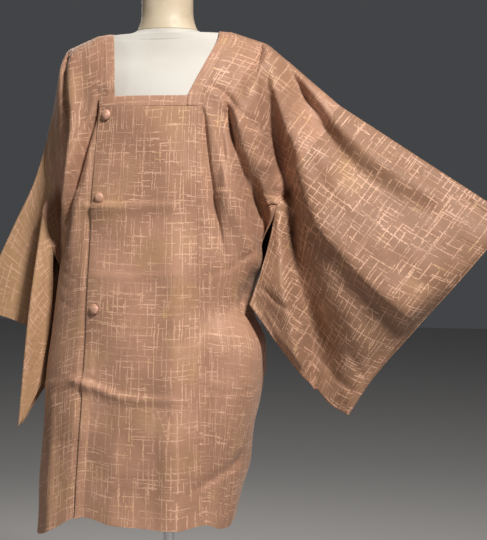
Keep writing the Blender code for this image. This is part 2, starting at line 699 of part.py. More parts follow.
# the same for the neck piece, and its end under the cap
NECK_RINGS = (
    (0.0545, 0.0455, 0.0555, SEAM), (0.0495, 0.0440, 0.0540, 0.012), (0.0460, 0.0420, 0.0520, 0.030),
)
NECK_END = (0.0460, 0.0415, 0.0515)
NECK_MIDDLE = 0.005  # the neck's middle lies this far behind the pole
CAP_LINE = (
    (0.0, CAP_THICK), (0.030, CAP_THICK), (0.038, CAP_THICK - 0.003), (0.040, 0.004), (0.040, 0.0),
    (0.0, 0.0),
)


def form_ridge(x):
    return ridge_height(x) - WALL / 2 - REST


def loft(name, rings, material, collection):
    """A closed piece through level rings: half width, front, back, squareness, height."""
    piece = bmesh.new()
    loops = []
    for half, front, back, square, height in rings:
        loop = []
        for i in range(FORM_SEGMENTS):
            turn = 2 * math.pi * i / FORM_SEGMENTS
            side, ahead = math.sin(turn), math.cos(turn)
            x = half * math.copysign(abs(side) ** (2 / square), side)
            y = (-front if ahead > 0 else back) * abs(ahead) ** (2 / square)
            loop.append(piece.verts.new((x, y, height)))
        loops.append(loop)
    for low, high in zip(loops, loops[1:]):
        for i in range(FORM_SEGMENTS):
            j = (i + 1) % FORM_SEGMENTS
            piece.faces.new((low[i], low[j], high[j], high[i]))
    piece.faces.new(list(reversed(loops[0])))
    piece.faces.new(loops[-1])
    bmesh.ops.recalc_face_normals(piece, faces=piece.faces)
    mesh = bpy.data.meshes.new(name)
    piece.to_mesh(mesh)
    piece.free()
    return add_object(name, mesh, material, collection)


def form_body(material, collection):
    """The torso, from its flat foot to the seam of the neck."""
    neck_foot = form_ridge(FORM_SHOULDER[-1][0])
    rings = [(half, front, back, square, height) for height, half, front, back, square in FORM_RINGS]
    rings += [(half, front, back, 2.0, form_ridge(half)) for half, front, back in FORM_SHOULDER]
    rings += [(half, front, back, 2.0, neck_foot + lift) for half, front, back, lift in FORM_NECK]
    return loft("form_torso", rings, material, collection)


def turned(name, profile, middle, steps, material, collection):
    """A turned piece: its outline from the axis out, down and back to the axis, spun round."""
    mesh = bpy.data.meshes.new(name)
    edges = [(i, i + 1) for i in range(len(profile) - 1)]
    mesh.from_pydata([(x, 0.0, z) for x, z in profile], edges, [])
    obj = add_object(name, mesh, material, collection)
    obj.location = middle
    spin = obj.modifiers.new("turn", "SCREW")
    spin.steps = spin.render_steps = steps
    spin.use_merge_vertices = True
    spin.merge_threshold = MERGE
    spin.use_smooth_shade = True
    return obj


def form_stand(finish, collection):
    """The neck of the form with its cap, the pole under the torso, and the round base."""
    neck_foot = form_ridge(FORM_SHOULDER[-1][0]) + FORM_NECK[-1][3]
    rings = [(*ring[:3], 2.0, neck_foot + ring[3]) for ring in NECK_RINGS]
    loft("form_neck", rings + [(*NECK_END, 2.0, NECK_TOP)], finish["form_cream"], collection)
    turned("form_cap", CAP_LINE, (0.0, NECK_MIDDLE, NECK_TOP + SEAM), 24, finish["form_cream"], collection)
    top, foot = FORM_FOOT - SEAM, BASE_THICK + SEAM
    pole = ((0.0, top), (POLE_RADIUS, top), (POLE_RADIUS, foot), (0.0, foot))
    turned("stand_pole", pole, (0.0, 0.0, 0.0), 16, finish["chrome"], collection)
    base = (
        (0.0, BASE_THICK), (BASE_RADIUS - 0.010, BASE_THICK), (BASE_RADIUS - 0.003, BASE_THICK - 0.003),
        (BASE_RADIUS, BASE_THICK - 0.008), (BASE_RADIUS, 0.0), (0.0, 0.0),
    )
    turned("stand_base", base, (0.0, 0.0, 0.0), 40, finish["chrome"], collection)


def main():
    for old in list(bpy.data.objects):
        bpy.data.objects.remove(old)
    collection = bpy.data.collections.new("michiyuki_coat")
    bpy.context.scene.collection.children.link(collection)
    finish = materials()
    silk = finish["coat_silk"]
    body_length("body_left", LEFT, silk, collection)
    body_length("body_right", RIGHT, silk, collection)
    front_overlap("front_overlap_left", True, silk, collection)
    front_overlap("front_overlap_right", False, silk, collection)
    neck_band("neck_band_left", LEFT, silk, collection)
    neck_band("neck_band_right", RIGHT, silk, collection)
    bottom_band(silk, collection)
    left_sleeve("sleeve_left", silk, collection)
    right_sleeve("sleeve_right", silk, collection)
    for number, height in enumerate(BUTTON_HEIGHTS, 1):
        button(f"button_{number}", height, silk, collection)
    form_body(finish["form_canvas"], collection)
    form_stand(finish, collection)


main()
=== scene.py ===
import math

import bmesh
import bpy
import numpy as np
from mathutils import Matrix, Vector


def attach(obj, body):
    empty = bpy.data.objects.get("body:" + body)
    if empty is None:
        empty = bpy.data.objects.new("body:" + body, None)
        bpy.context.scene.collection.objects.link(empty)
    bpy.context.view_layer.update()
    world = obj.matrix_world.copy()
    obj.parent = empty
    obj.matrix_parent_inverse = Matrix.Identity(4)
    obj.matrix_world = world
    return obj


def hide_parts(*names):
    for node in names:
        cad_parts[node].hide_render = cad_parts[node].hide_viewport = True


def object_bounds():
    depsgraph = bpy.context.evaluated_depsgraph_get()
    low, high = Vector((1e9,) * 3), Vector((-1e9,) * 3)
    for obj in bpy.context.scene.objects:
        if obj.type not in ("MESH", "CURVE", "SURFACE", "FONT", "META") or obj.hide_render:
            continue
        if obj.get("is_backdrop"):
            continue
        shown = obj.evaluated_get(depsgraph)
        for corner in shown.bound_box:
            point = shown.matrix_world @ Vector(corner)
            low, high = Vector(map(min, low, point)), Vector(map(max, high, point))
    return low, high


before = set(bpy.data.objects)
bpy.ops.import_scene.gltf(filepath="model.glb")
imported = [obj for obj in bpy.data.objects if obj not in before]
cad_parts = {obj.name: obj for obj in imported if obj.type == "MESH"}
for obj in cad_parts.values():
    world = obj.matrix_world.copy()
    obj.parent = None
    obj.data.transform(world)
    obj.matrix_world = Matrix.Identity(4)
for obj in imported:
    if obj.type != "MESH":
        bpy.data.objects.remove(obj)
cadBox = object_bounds()
print("frame loaded")

# Metres, +Z up, front towards -Y, the wearer's left towards +X. Places are arrays of points, so a
# whole sheet of cloth is laid in one go.

cloth = {
    "wall": 0.0016,
    "seam": 0.0004,  # space between two pieces
    "close": 0.00015,  # the same where they are sewn edge to edge
    "lap": 0.0045,  # upper front to under front
    "overlapTurn": 30.0,  # how far round from the centre front an overlap reaches, in degrees
    "foldRadius": 0.0026,
    "merge": 0.00001,
    "roll": 0.0002,  # how far a seam's edge rolls in
    "rollWidth": 0.002,
    # distances from a fold at which the grid has a row
    "foldRows": np.array((0.35, 0.8, 1.5, 2.7, 4.5)) / 1000,
}

coat = {
    "neckHalf": 0.118,
    "neckRidge": 1.3745,
    "shoulderHalf": 0.183,
    "shoulderTip": 1.352,
    "band": 0.018,
    "bandSide": 0.085,
    "bandFoot": 1.24,
    "backNeck": 1.352,
    "bust": 1.1,
    "slitFoot": 0.93,
    "armToSeam": 0.168,
    "sleeveDepth": 0.48,
    "sleeveLength": 0.34,
    "pleatDepth": 0.26,
    "wrist": 0.54,  # share of the cuff left open for the hand
    "armhole": 0.43,  # share of the sleeve's depth that is sewn to the body
    "armholeFull": 0.026,  # how far the sleeve's seam stands out in front and behind
    "shoulderCorner": 0.01,
    "chestFade": 0.19,  # how far below the bust the chest's folds run out
    "plainChest": 0.16,  # share of the width, from the centre, that follows the level sections
    "leftSlit": 0.08,
    "seamFade": 0.12,  # share of the armhole over which the fan's folds run out at the underarm
    "shoulderRound": 2.6,  # how squarely the cloth turns from the chest onto the shoulder
    "neckRound": 2.2,  # the same for the line of the back neck
    "neckHang": 1.7,  # how soon the cloth beside the neck hangs straight
}

# The under front, tucked behind the upper one: from how far beside the edge, over what width, and
# how far above the neck band's foot it ends
tucked = {"beside": 0.014, "width": 0.012, "above": 0.04, "fade": 0.02}

# Level sections of the hanging body: height, right, left, front, back, squareness
sections = (
    (0.47, -0.243, 0.112, 0.14, 0.124, 2.4),
    (0.56, -0.236, 0.133, 0.139, 0.12, 2.4),
    (0.66, -0.229, 0.151, 0.138, 0.116, 2.4),
    (0.78, -0.219, 0.174, 0.136, 0.113, 2.4),
    (0.83, -0.212, 0.176, 0.135, 0.112, 2.4),
    (0.893, -0.203, 0.152, 0.133, 0.111, 2.4),
    (0.97, -0.193, 0.168, 0.131, 0.11, 2.4),
    (1.06, -0.186, 0.172, 0.129, 0.112, 2.4),
    (1.12, -0.186, 0.176, 0.127, 0.114, 2.4),
    (1.4, -0.186, 0.18, 0.127, 0.114, 2.4),
)

# Edge of the upper front: height, x
lapLine = ((0.5, -0.135), (0.72, -0.12), (0.91, -0.11), (1.05, -0.104), (1.24, -0.09))

# The hem: angle from the front with the wearer's left positive, height
hemLine = (
    (-180, 0.5), (-120, 0.492), (-90, 0.487), (-60, 0.482), (-42, 0.503), (-28, 0.526),
    (-12, 0.519), (10, 0.515), (35, 0.514), (60, 0.503), (90, 0.506), (130, 0.498), (180, 0.5),
)

neckDrop = (coat["neckRidge"] - coat["backNeck"]) / (coat["neckRidge"] - coat["bust"])
bandDrop = (coat["neckRidge"] - coat["bandFoot"]) / (coat["neckRidge"] - coat["bust"])

# Each arm: the way its fold runs, its underarm, and the level row at the bust: share, x, y
leftArm = {
    "sign": 1,
    "arm": (0.127, 0.0, -0.1085),
    "neckline": ((1.24, 0.085), (1.26, 0.0868), (1.28, 0.095), (1.3, 0.1042), (1.32, 0.113),
                 (1.34, 0.1208), (1.355, 0.1248), (1.367, 0.1235), (1.3745, 0.118)),
    "underarm": (0.202, -0.012, 1.071),
    "underarmBack": (0.203, 0.03, 1.071),
    "frontRow": ((0.0, 0.085, 0.0), (0.32, 0.13, -0.112), (0.52, 0.156, -0.078), (0.74, 0.166, -0.04)),
    "backRow": ((0.0, 0.0008, 0.0), (0.5, 0.11, 0.1), (0.72, 0.158, 0.078), (0.86, 0.178, 0.052)),
}
rightArm = {
    "sign": -1,
    "arm": (-0.0445, 0.0, -0.159),
    "neckline": ((1.24, 0.085), (1.26, 0.0805), (1.28, 0.082), (1.3, 0.0845), (1.32, 0.088),
                 (1.34, 0.0926), (1.355, 0.0975), (1.367, 0.105), (1.3745, 0.118)),
    "underarm": (-0.203, -0.044, 1.0),
    "underarmBack": (-0.206, 0.03, 1.0),
    "frontRow": ((0.0, -0.085, 0.0), (0.32, -0.14, -0.108), (0.55, -0.178, -0.062), (0.76, -0.19, -0.036)),
    "backRow": ((0.0, -0.0008, 0.0), (0.5, -0.11, 0.1), (0.72, -0.165, 0.078), (0.86, -0.19, 0.052)),
}

# Folds and creases. Each is a run of (x, z) places that goes down or to the right, then the widths
# of its left (or lower) and right (or upper) flanks, and its depth, each at both ends. Out is positive.
frontFolds = (
    (((0.08, 0.58), (0.125, 0.609), (0.156, 0.629)), (0.005, 0.01), (0.009, 0.012), (-0.004, -0.008)),
    (((0.046, 1.08), (0.05, 0.93), (0.054, 0.72), (0.056, 0.5)), (0.026, 0.03), (0.014, 0.016),
     (0.003, 0.018)),
    (((0.08, 1.06), (0.087, 0.9), (0.09, 0.7), (0.09, 0.52)), (0.014, 0.016), (0.022, 0.026),
     (-0.004, -0.018)),
    (((0.082, 0.505), (0.112, 0.503), (0.145, 0.51)), (0.04, 0.045), (0.04, 0.045), (0.008, 0.016)),
    (((-0.104, 0.73), (-0.112, 0.62), (-0.12, 0.52)), (0.007, 0.008), (0.04, 0.046), (-0.004, -0.009)),
    (((-0.183, 0.72), (-0.191, 0.48)), (0.01, 0.012), (0.012, 0.014), (0.004, 0.007)),
    (((0.085, 0.85), (0.12, 0.88), (0.15, 0.905)), (0.014, 0.016), (0.018, 0.022), (-0.003, -0.007)),
    # creases left by the folded storage of the coat: sharp above, wide below
    (((-0.092, 1.073), (-0.05, 1.071), (-0.01, 1.072), (0.03, 1.074)), (0.016, 0.012), (0.003, 0.003),
     (0.007, 0.0026)),
    (((-0.104, 0.952), (-0.027, 0.949), (0.035, 0.955), (0.075, 0.957)), (0.011, 0.008), (0.0036, 0.0034),
     (0.0016, 0.0006)),
    (((-0.118, 0.765), (-0.083, 0.755), (-0.042, 0.743), (-0.001, 0.74), (0.045, 0.741)), (0.013, 0.01),
     (0.005, 0.004), (0.0085, 0.002)),
    (((-0.205, 0.753), (-0.151, 0.764), (-0.122, 0.776)), (0.01, 0.01), (0.004, 0.0035), (0.0024, 0.0036)),
    (((-0.2, 0.65), (-0.165, 0.655), (-0.13, 0.66)), (0.003, 0.002), (0.004, 0.004), (-0.0006, -0.0012)),
    (((-0.1, 0.6), (-0.03, 0.597), (0.06, 0.603)), (0.002, 0.003), (0.005, 0.005), (-0.0008, -0.0006)),
    (((-0.1, 0.86), (-0.04, 0.853), (0.05, 0.857)), (0.002, 0.003), (0.005, 0.005), (-0.0005, -0.0009)),
    (((0.07, 1.043), (0.093, 1.033), (0.112, 1.02)), (0.002, 0.003), (0.003, 0.003), (-0.001, -0.0014)),
    (((0.095, 0.835), (0.125, 0.828), (0.16, 0.835)), (0.002, 0.003), (0.004, 0.005), (-0.0006, -0.0018)),
    (((0.092, 0.76), (0.13, 0.745), (0.165, 0.748)), (0.002, 0.003), (0.004, 0.005), (-0.001, -0.0016)),
    (((0.1, 0.95), (0.14, 0.965), (0.165, 0.99)), (0.004, 0.004), (0.006, 0.006), (-0.001, -0.003)),
    (((0.03, 0.69), (0.036, 0.6), (0.028, 0.52)), (0.01, 0.014), (0.012, 0.014), (0.0015, 0.003)),
    (((-0.05, 0.7), (-0.058, 0.6), (-0.062, 0.52)), (0.012, 0.014), (0.01, 0.012), (0.0012, 0.003)),
    (((-0.01, 0.64), (-0.014, 0.56), (-0.018, 0.51)), (0.012, 0.014), (0.012, 0.014), (-0.001, -0.003)),
    (((0.128, 0.72), (0.126, 0.61), (0.112, 0.5)), (0.008, 0.01), (0.01, 0.012), (-0.001, -0.004)),
    (((-0.168, 0.983), (-0.149, 0.97)), (0.0025, 0.0025), (0.003, 0.003), (-0.0016, -0.001)),
    (((-0.17, 0.958), (-0.145, 0.944)), (0.0025, 0.0025), (0.003, 0.003), (-0.0018, -0.0012)),
    (((-0.172, 0.932), (-0.148, 0.92)), (0.0025, 0.0025), (0.003, 0.003), (-0.0016, -0.001)),
    (((-0.174, 0.905), (-0.14, 0.89)), (0.003, 0.003), (0.003, 0.003), (-0.0016, -0.001)),
)
backFolds = (
    (((-0.06, 1.25), (-0.072, 1.03), (-0.09, 0.8)), (0.018, 0.026), (0.024, 0.032), (-0.004, -0.009)),
    (((0.05, 1.18), (0.062, 0.9), (0.085, 0.56)), (0.018, 0.03), (0.024, 0.034), (-0.004, -0.01)),
    (((0.13, 1.12), (0.12, 0.62)), (0.018, 0.026), (0.018, 0.026), (0.004, 0.008)),
    (((-0.14, 1.08), (-0.165, 0.52)), (0.018, 0.026), (0.018, 0.026), (0.004, 0.009)),
    (((-0.12, 1.072), (-0.04, 1.069), (0.04, 1.074), (0.12, 1.07)), (0.002, 0.002), (0.004, 0.004),
     (-0.001, -0.0014)),
    (((-0.15, 0.952), (-0.05, 0.948), (0.06, 0.955), (0.14, 0.95)), (0.002, 0.002), (0.005, 0.004),
     (-0.0014, -0.0009)),
    (((-0.16, 0.742), (-0.06, 0.738), (0.04, 0.745), (0.14, 0.74)), (0.003, 0.002), (0.006, 0.005),
     (-0.0026, -0.0016)),
    (((-0.13, 1.21), (-0.1, 1.16), (-0.088, 1.09)), (0.007, 0.01), (0.009, 0.012), (-0.003, -0.002)),
    (((0.15, 1.215), (0.118, 1.15), (0.1, 1.08)), (0.007, 0.01), (0.009, 0.012), (-0.004, -0.002)),
    (((0.02, 0.72), (0.024, 0.61), (0.03, 0.5)), (0.012, 0.016), (0.012, 0.016), (0.0015, 0.004)),
    (((-0.03, 0.7), (-0.036, 0.6), (-0.04, 0.5)), (0.014, 0.016), (0.012, 0.016), (-0.001, -0.004)),
)
# Folds that fan out from the tip of the raised shoulder, through the body, the seam and the sleeve
fanFolds = (
    (((0.183, 1.345), (0.186, 1.256), (0.192, 1.186), (0.202, 1.11), (0.224, 1.03), (0.243, 0.94),
      (0.26, 0.86), (0.266, 0.77)), (0.004, 0.01), (0.012, 0.06), (-0.024, -0.058)),
    (((0.184, 1.325), (0.188, 1.256), (0.195, 1.186), (0.205, 1.115)), (0.004, 0.007), (0.01, 0.026),
     (-0.009, -0.018)),
    (((0.194, 1.33), (0.214, 1.25), (0.236, 1.166), (0.262, 1.08), (0.3, 1.018), (0.352, 0.966),
      (0.445, 0.876)), (0.008, 0.016), (0.012, 0.044), (0.012, 0.022)),
    (((0.222, 1.304), (0.246, 1.262), (0.278, 1.212), (0.312, 1.165), (0.35, 1.128), (0.415, 1.08),
      (0.5, 1.03)), (0.014, 0.05), (0.01, 0.024), (-0.03, -0.006)),
    (((0.262, 1.272), (0.32, 1.2), (0.38, 1.15), (0.47, 1.09)), (0.008, 0.014), (0.01, 0.014),
     (0.005, 0.006)),
    (((0.2, 1.32), (0.3, 1.13), (0.44, 0.92)), (0.01, 0.03), (0.01, 0.03), (0.003, 0.006)),
    (((0.212, 1.318), (0.242, 1.268), (0.262, 1.228)), (0.006, 0.008), (0.007, 0.01), (0.003, 0.004)),
    (((0.268, 1.15), (0.3, 1.095), (0.345, 1.048)), (0.006, 0.01), (0.007, 0.01), (-0.002, -0.0015)),
)
# Places where the cloth beside a fold hangs over it: the fold's run, how far over, and the width of cloth
# that leans
overhangs = (
    (((0.184, 1.31), (0.186, 1.256), (0.19, 1.186), (0.194, 1.14)), (0.003, 0.005), 0.01),
    (((0.194, 1.14), (0.199, 1.115), (0.203, 1.1)), (0.005, 0.0005), 0.01),
    (((0.126, 1.185), (0.133, 1.14), (0.145, 1.097), (0.156, 1.051), (0.166, 1.009), (0.176, 0.96)),
     (0.001, 0.009), 0.008),
)
# Folds of the left chest and shoulder, in the front of the body alone
leftChestFolds = (
    (((0.104, 1.274), (0.118, 1.266), (0.134, 1.253), (0.154, 1.23), (0.18, 1.197)), (0.0018, 0.0024),
     (0.005, 0.009), (-0.0036, -0.0052)),
    (((0.106, 1.266), (0.124, 1.254), (0.143, 1.233), (0.162, 1.206)), (0.012, 0.016), (0.005, 0.005),
     (0.003, 0.0042)),
    (((0.095, 1.222), (0.1, 1.17), (0.108, 1.105), (0.117, 1.04), (0.128, 0.975), (0.138, 0.93)),
     (0.009, 0.012), (0.004, 0.007), (-0.0075, -0.015)),
    (((0.112, 1.205), (0.122, 1.155), (0.134, 1.1), (0.146, 1.048), (0.158, 0.995), (0.166, 0.955)),
     (0.012, 0.014), (0.004, 0.005), (0.006, 0.013)),
    (((0.132, 1.225), (0.141, 1.18), (0.15, 1.135), (0.16, 1.09), (0.171, 1.04), (0.18, 0.99)),
     (0.004, 0.006), (0.012, 0.024), (-0.016, -0.048)),
    (((0.15, 1.238), (0.163, 1.19), (0.174, 1.14), (0.184, 1.1)), (0.014, 0.018), (0.011, 0.009),
     (0.007, 0.014)),
    (((0.15, 1.322), (0.16, 1.29), (0.166, 1.262)), (0.006, 0.006), (0.006, 0.006), (0.0012, 0.0016)),
)
leftBackFolds = (
    (((0.168, 1.3), (0.172, 1.22), (0.176, 1.12)), (0.01, 0.014), (0.01, 0.014), (-0.004, -0.01)),
    (((0.118, 1.3), (0.15, 1.24), (0.17, 1.18)), (0.004, 0.004), (0.008, 0.008), (-0.003, -0.003)),
)
rightChestFolds = (
    (((-0.172, 1.33), (-0.167, 1.285), (-0.156, 1.238), (-0.154, 1.195), (-0.163, 1.135), (-0.176, 1.08)),
     (0.013, 0.022), (0.003, 0.004), (-0.014, -0.036)),
    (((-0.16, 1.32), (-0.153, 1.28), (-0.144, 1.235), (-0.142, 1.195), (-0.15, 1.135), (-0.164, 1.08)),
     (0.005, 0.006), (0.022, 0.022), (0.01, 0.02)),
    (((-0.092, 1.236), (-0.103, 1.206), (-0.117, 1.161), (-0.134, 1.11), (-0.155, 1.045), (-0.172, 0.99)),
     (0.008, 0.02), (0.0025, 0.005), (-0.012, -0.032)),
    (((-0.094, 1.222), (-0.1, 1.18), (-0.112, 1.13), (-0.128, 1.075), (-0.146, 1.02), (-0.16, 0.97)),
     (0.004, 0.005), (0.01, 0.02), (0.003, 0.008)),
    (((-0.104, 1.228), (-0.122, 1.2), (-0.138, 1.16), (-0.152, 1.11), (-0.168, 1.05)), (0.006, 0.008),
     (0.005, 0.008), (0.004, 0.009)),
)
rightBackFolds = (
    (((-0.15, 1.32), (-0.168, 1.23), (-0.178, 1.13)), (0.008, 0.012), (0.008, 0.012), (-0.003, -0.006)),
    (((-0.11, 1.3), (-0.15, 1.25), (-0.172, 1.2)), (0.004, 0.004), (0.008, 0.008), (-0.0025, -0.003)),
)
# Creases of the left sleeve's front and back layers, away from its edges
leftSleeveFolds = (
    (((0.205, 1.045), (0.217, 0.96), (0.229, 0.896), (0.239, 0.85), (0.245, 0.8)), (0.02, 0.03),
     (0.006, 0.007), (0.006, 0.016)),
    (((0.188, 0.923), (0.216, 0.902), (0.239, 0.887)), (0.003, 0.003), (0.006, 0.006), (-0.0035, -0.003)),
    (((0.196, 0.88), (0.21, 0.85), (0.222, 0.824)), (0.005, 0.006), (0.004, 0.005), (0.002, 0.003)),
    (((0.3, 0.86), (0.318, 0.8), (0.328, 0.745)), (0.016, 0.02), (0.016, 0.02), (0.003, 0.004)),
    (((0.33, 0.93), (0.36, 0.88), (0.385, 0.83)), (0.014, 0.018), (0.014, 0.018), (-0.003, -0.003)),
    (((0.52, 1.09), (0.548, 1.062), (0.575, 1.036)), (0.005, 0.006), (0.008, 0.008), (-0.003, -0.002)),
    (((0.4, 1.15), (0.45, 1.12), (0.5, 1.086)), (0.01, 0.01), (0.01, 0.01), (0.002, 0.0015)),
    (((0.43, 1.04), (0.47, 1.0), (0.505, 0.962)), (0.014, 0.016), (0.016, 0.018), (-0.003, -0.002)),
    (((0.38, 1.06), (0.42, 1.01), (0.46, 0.965)), (0.012, 0.014), (0.012, 0.016), (0.002, 0.002)),
    (((0.47, 1.02), (0.495, 1.0), (0.53, 0.975)), (0.004, 0.004), (0.006, 0.006), (-0.0012, -0.0012)),
    (((0.34, 0.8), (0.355, 0.775), (0.36, 0.75)), (0.005, 0.005), (0.006, 0.006), (-0.002, -0.002)),
    (((0.275, 0.8), (0.3, 0.77), (0.33, 0.752)), (0.006, 0.006), (0.008, 0.008), (-0.002, -0.003)),
)
leftSleeveBackFolds = (
    (((0.23, 1.02), (0.26, 0.94), (0.29, 0.86), (0.31, 0.78)), (0.018, 0.02), (0.02, 0.024),
     (0.004, 0.008)),
    (((0.3, 1.05), (0.35, 0.97), (0.4, 0.89)), (0.014, 0.018), (0.016, 0.02), (-0.004, -0.004)),
    (((0.42, 1.08), (0.47, 1.01), (0.5, 0.95)), (0.014, 0.018), (0.016, 0.02), (-0.003, -0.003)),
    (((0.38, 1.12), (0.45, 1.07), (0.52, 1.04)), (0.01, 0.012), (0.012, 0.012), (0.0025, 0.002)),
    (((0.32, 0.9), (0.345, 0.86), (0.38, 0.83)), (0.004, 0.005), (0.006, 0.006), (-0.002, -0.002)),
)


def smoothStep(share):
    share = np.clip(share, 0.0, 1.0)
    return share * share * (3.0 - 2.0 * share)


def mix(first, last, share):
    return first + (last - first) * share


def betweenEnds(share, first, last):
    # 1 along the middle of a share, fading out over these widths at its two ends
    return smoothStep(share / first) * smoothStep((1 - share) / last)


def lerp(first, last, share):
    return first + (last - first) * np.asarray(share)[..., None]


def points(x, y, z):
    return np.stack(np.broadcast_arrays(x, y, z), axis=-1).astype(float)


def curveThrough(stations, values, place):
    # values holds a row of points for each station; each place picks its own column
    stations = np.asarray(stations, float)
    place = np.clip(np.atleast_1d(place), stations[0], stations[-1])
    values = np.broadcast_to(values, (len(stations), len(place), values.shape[-1]))
    slopes = np.gradient(values, stations, axis=0)
    i = np.clip(np.searchsorted(stations, place) - 1, 0, len(stations) - 2)
    span = (stations[i + 1] - stations[i])[:, None]
    t = (place - stations[i])[:, None] / span
    own = np.arange(len(place))
    return (
        values[i, own] * (1 + 2 * t) * (1 - t) ** 2
        + slopes[i, own] * span * t * (1 - t) ** 2
        + values[i + 1, own] * t * t * (3 - 2 * t)
        + slopes[i + 1, own] * span * t * t * (t - 1)
    )


def tableAt(rows, place):
    rows = np.array(rows, float)
    return curveThrough(rows[:, 0], rows[:, None, 1:], place)


def runSteps(run, x, z):
    # For each step of a run: its way, the share of the run reached beside these places, how far they
    # lie to its left, how far beyond its ends, and how far off it in all
    steps = [math.dist(a, b) for a, b in zip(run, run[1:])]
    done = 0.0
    for (ax, az), (bx, bz), step in zip(run, run[1:], steps):
        ux, uz = (bx - ax) / step, (bz - az) / step
        along = (x - ax) * ux + (z - az) * uz
        kept = np.clip(along, 0.0, step)
        aside = (z - az) * ux - (x - ax) * uz
        off = np.hypot(x - ax - kept * ux, z - az - kept * uz)
        yield (ux, uz), (done + kept) / sum(steps), aside, np.abs(along - kept), off
        done += step


def foldDepth(folds, x, z):
    # How far the folds move the cloth out at these places
    total = np.zeros(np.shape(x))
    for run, left, right, depth in folds:
        nearest = np.full(np.shape(x), np.inf)
        share, aside, beyond = (np.zeros(np.shape(x)) for _ in range(3))
        for _, here, beside, past, off in runSteps(run, x, z):
            closer = off < nearest
            nearest = np.where(closer, off, nearest)
            share = np.where(closer, here, share)
            aside = np.where(closer, beside, aside)
            beyond = np.where(closer, past, beyond)
        wide = np.where(aside < 0, mix(*left, share), mix(*right, share))
        total += mix(*depth, share) * np.exp(-((aside / wide) ** 2) - (beyond / (2.0 * wide)) ** 2)
    return total


def leanOver(place):
    # Moves the cloth beside each overhang sideways across its fold
    x, z = place[:, 0].copy(), place[:, 2].copy()
    for run, reach, wide in overhangs:
        nearest = np.full(x.shape, np.inf)
        moveX, moveZ = np.zeros(x.shape), np.zeros(x.shape)
        for (ux, uz), share, aside, past, off in runSteps(run, x, z):
            over = mix(*reach, share) * np.exp(-(((aside + wide) / wide) ** 2))
            over = over * np.exp(-((past / (1.5 * wide)) ** 2))
            closer = off < nearest
            nearest = np.where(closer, off, nearest)
            moveX, moveZ = np.where(closer, -over * uz, moveX), np.where(closer, over * ux, moveZ)
        place[:, 0] += moveX
        place[:, 2] += moveZ
    return place


def waves(seed, count, shortest, longest, height):
    # Gentle unevenness: directions, lengths and heights of waves that add up
    rng = np.random.default_rng(seed)
    turn = rng.uniform(0, math.tau, count)
    size = rng.uniform(shortest, longest, count)
    phase = rng.uniform(0, math.tau, count)
    return np.cos(turn) / size, np.sin(turn) / size, phase, height * size / longest


def waveDepth(table, x, z):
    total = np.zeros(np.shape(x))
    for acrossRate, upRate, phase, height in zip(*table):
        total += height * np.sin(math.tau * (x * acrossRate + z * upRate) + phase)
    return total


frontWaves = waves(11, 14, 0.06, 0.18, 0.0006)
backWaves = waves(23, 14, 0.06, 0.18, 0.0008)
sleeveWaves = waves(37, 14, 0.06, 0.18, 0.0008)

# The hanging body


def bodyFolds(x, height, ahead):
    front = foldDepth(frontFolds, x, height) + waveDepth(frontWaves, x, height)
    back = foldDepth(backFolds, x, height) + waveDepth(backWaves, x, height)
    return np.where(ahead > 0, front, back)


def level(angle, height, out=0.0):
    # Points of the level sections: 0 degrees is the front, 90 the wearer's left
    angle, height = np.broadcast_arrays(np.atleast_1d(angle), height)
    right, left, front, back, square = tableAt(sections, height).T
    middle, half = (left + right) / 2, (left - right) / 2
    turn = np.radians(angle)
    side, ahead = np.sin(turn), np.cos(turn)
    x = middle + half * np.sign(side) * np.abs(side) ** (2 / square)
    y = np.where(ahead > 0, -front, back) * np.abs(ahead) ** (2 / square)
    out = out + bodyFolds(x, height, ahead) * smoothStep(np.abs(ahead) / 0.25)
    sideways = 1.0 - smoothStep(np.abs(ahead) / 0.6)
    away = points(np.sign(side) * sideways, -np.sign(ahead) * (1.0 - sideways), 0.0)
    away /= np.linalg.norm(away, axis=-1, keepdims=True)
    return points(x, y, height) + away * out[..., None]


def angleOf(x, height, face, sign=0):
    # The angle at which the sections pass this x on the front (1) or the back (-1)
    x, height = np.broadcast_arrays(np.atleast_1d(x), height)
    right, left, _, _, square = tableAt(sections, height).T
    middle, half = (left + right) / 2, (left - right) / 2
    share = np.minimum(1.0, np.abs(x - middle) / half)
    angle = np.copysign(np.degrees(np.arcsin(share ** (square / 2))), x - middle)
    if face > 0:
        return angle
    return np.copysign(180.0, sign if sign else angle) - angle


def ridgeHeight(x):
    slope = (coat["shoulderTip"] - coat["neckRidge"]) / (coat["shoulderHalf"] - coat["neckHalf"])
    return coat["neckRidge"] + slope * np.maximum(0.0, np.abs(x) - coat["neckHalf"])


def rise(height, foot, top):
    share = np.clip((height - foot) / (top - foot), 0.0, 1.0)
    return (1.0 - share ** coat["shoulderRound"]) ** (1 / coat["shoulderRound"])


def chest(x, height, face, out=0.0):
    # Points of the front (1) or back (-1) near the centre, at any height
    x, height = np.broadcast_arrays(np.atleast_1d(x), height)
    low = np.minimum(height, coat["bust"])
    foot = level(angleOf(x, low, face), low, out)[:, 1]
    ahead = np.full(x.shape, float(face))
    bump = bodyFolds(x, height, ahead) - bodyFolds(x, np.full(x.shape, coat["bust"]), ahead)
    raised = (np.abs(foot) + bump) * rise(height, coat["bust"], np.maximum(ridgeHeight(x), height))
    return points(x, np.where(height <= coat["bust"], foot, -face * raised), height)


def lapEdge(height):
    return tableAt(lapLine, height)[:, 0]


def hemHeight(angle):
    return tableAt(hemLine, angle)[:, 0]


def foldRound(fromFold):
    # Half the space between two layers at this distance from their fold
    gone = np.clip(fromFold / cloth["foldRadius"], 0.0, 1.0)
    return cloth["foldRadius"] * np.sqrt(gone * (2.0 - gone))


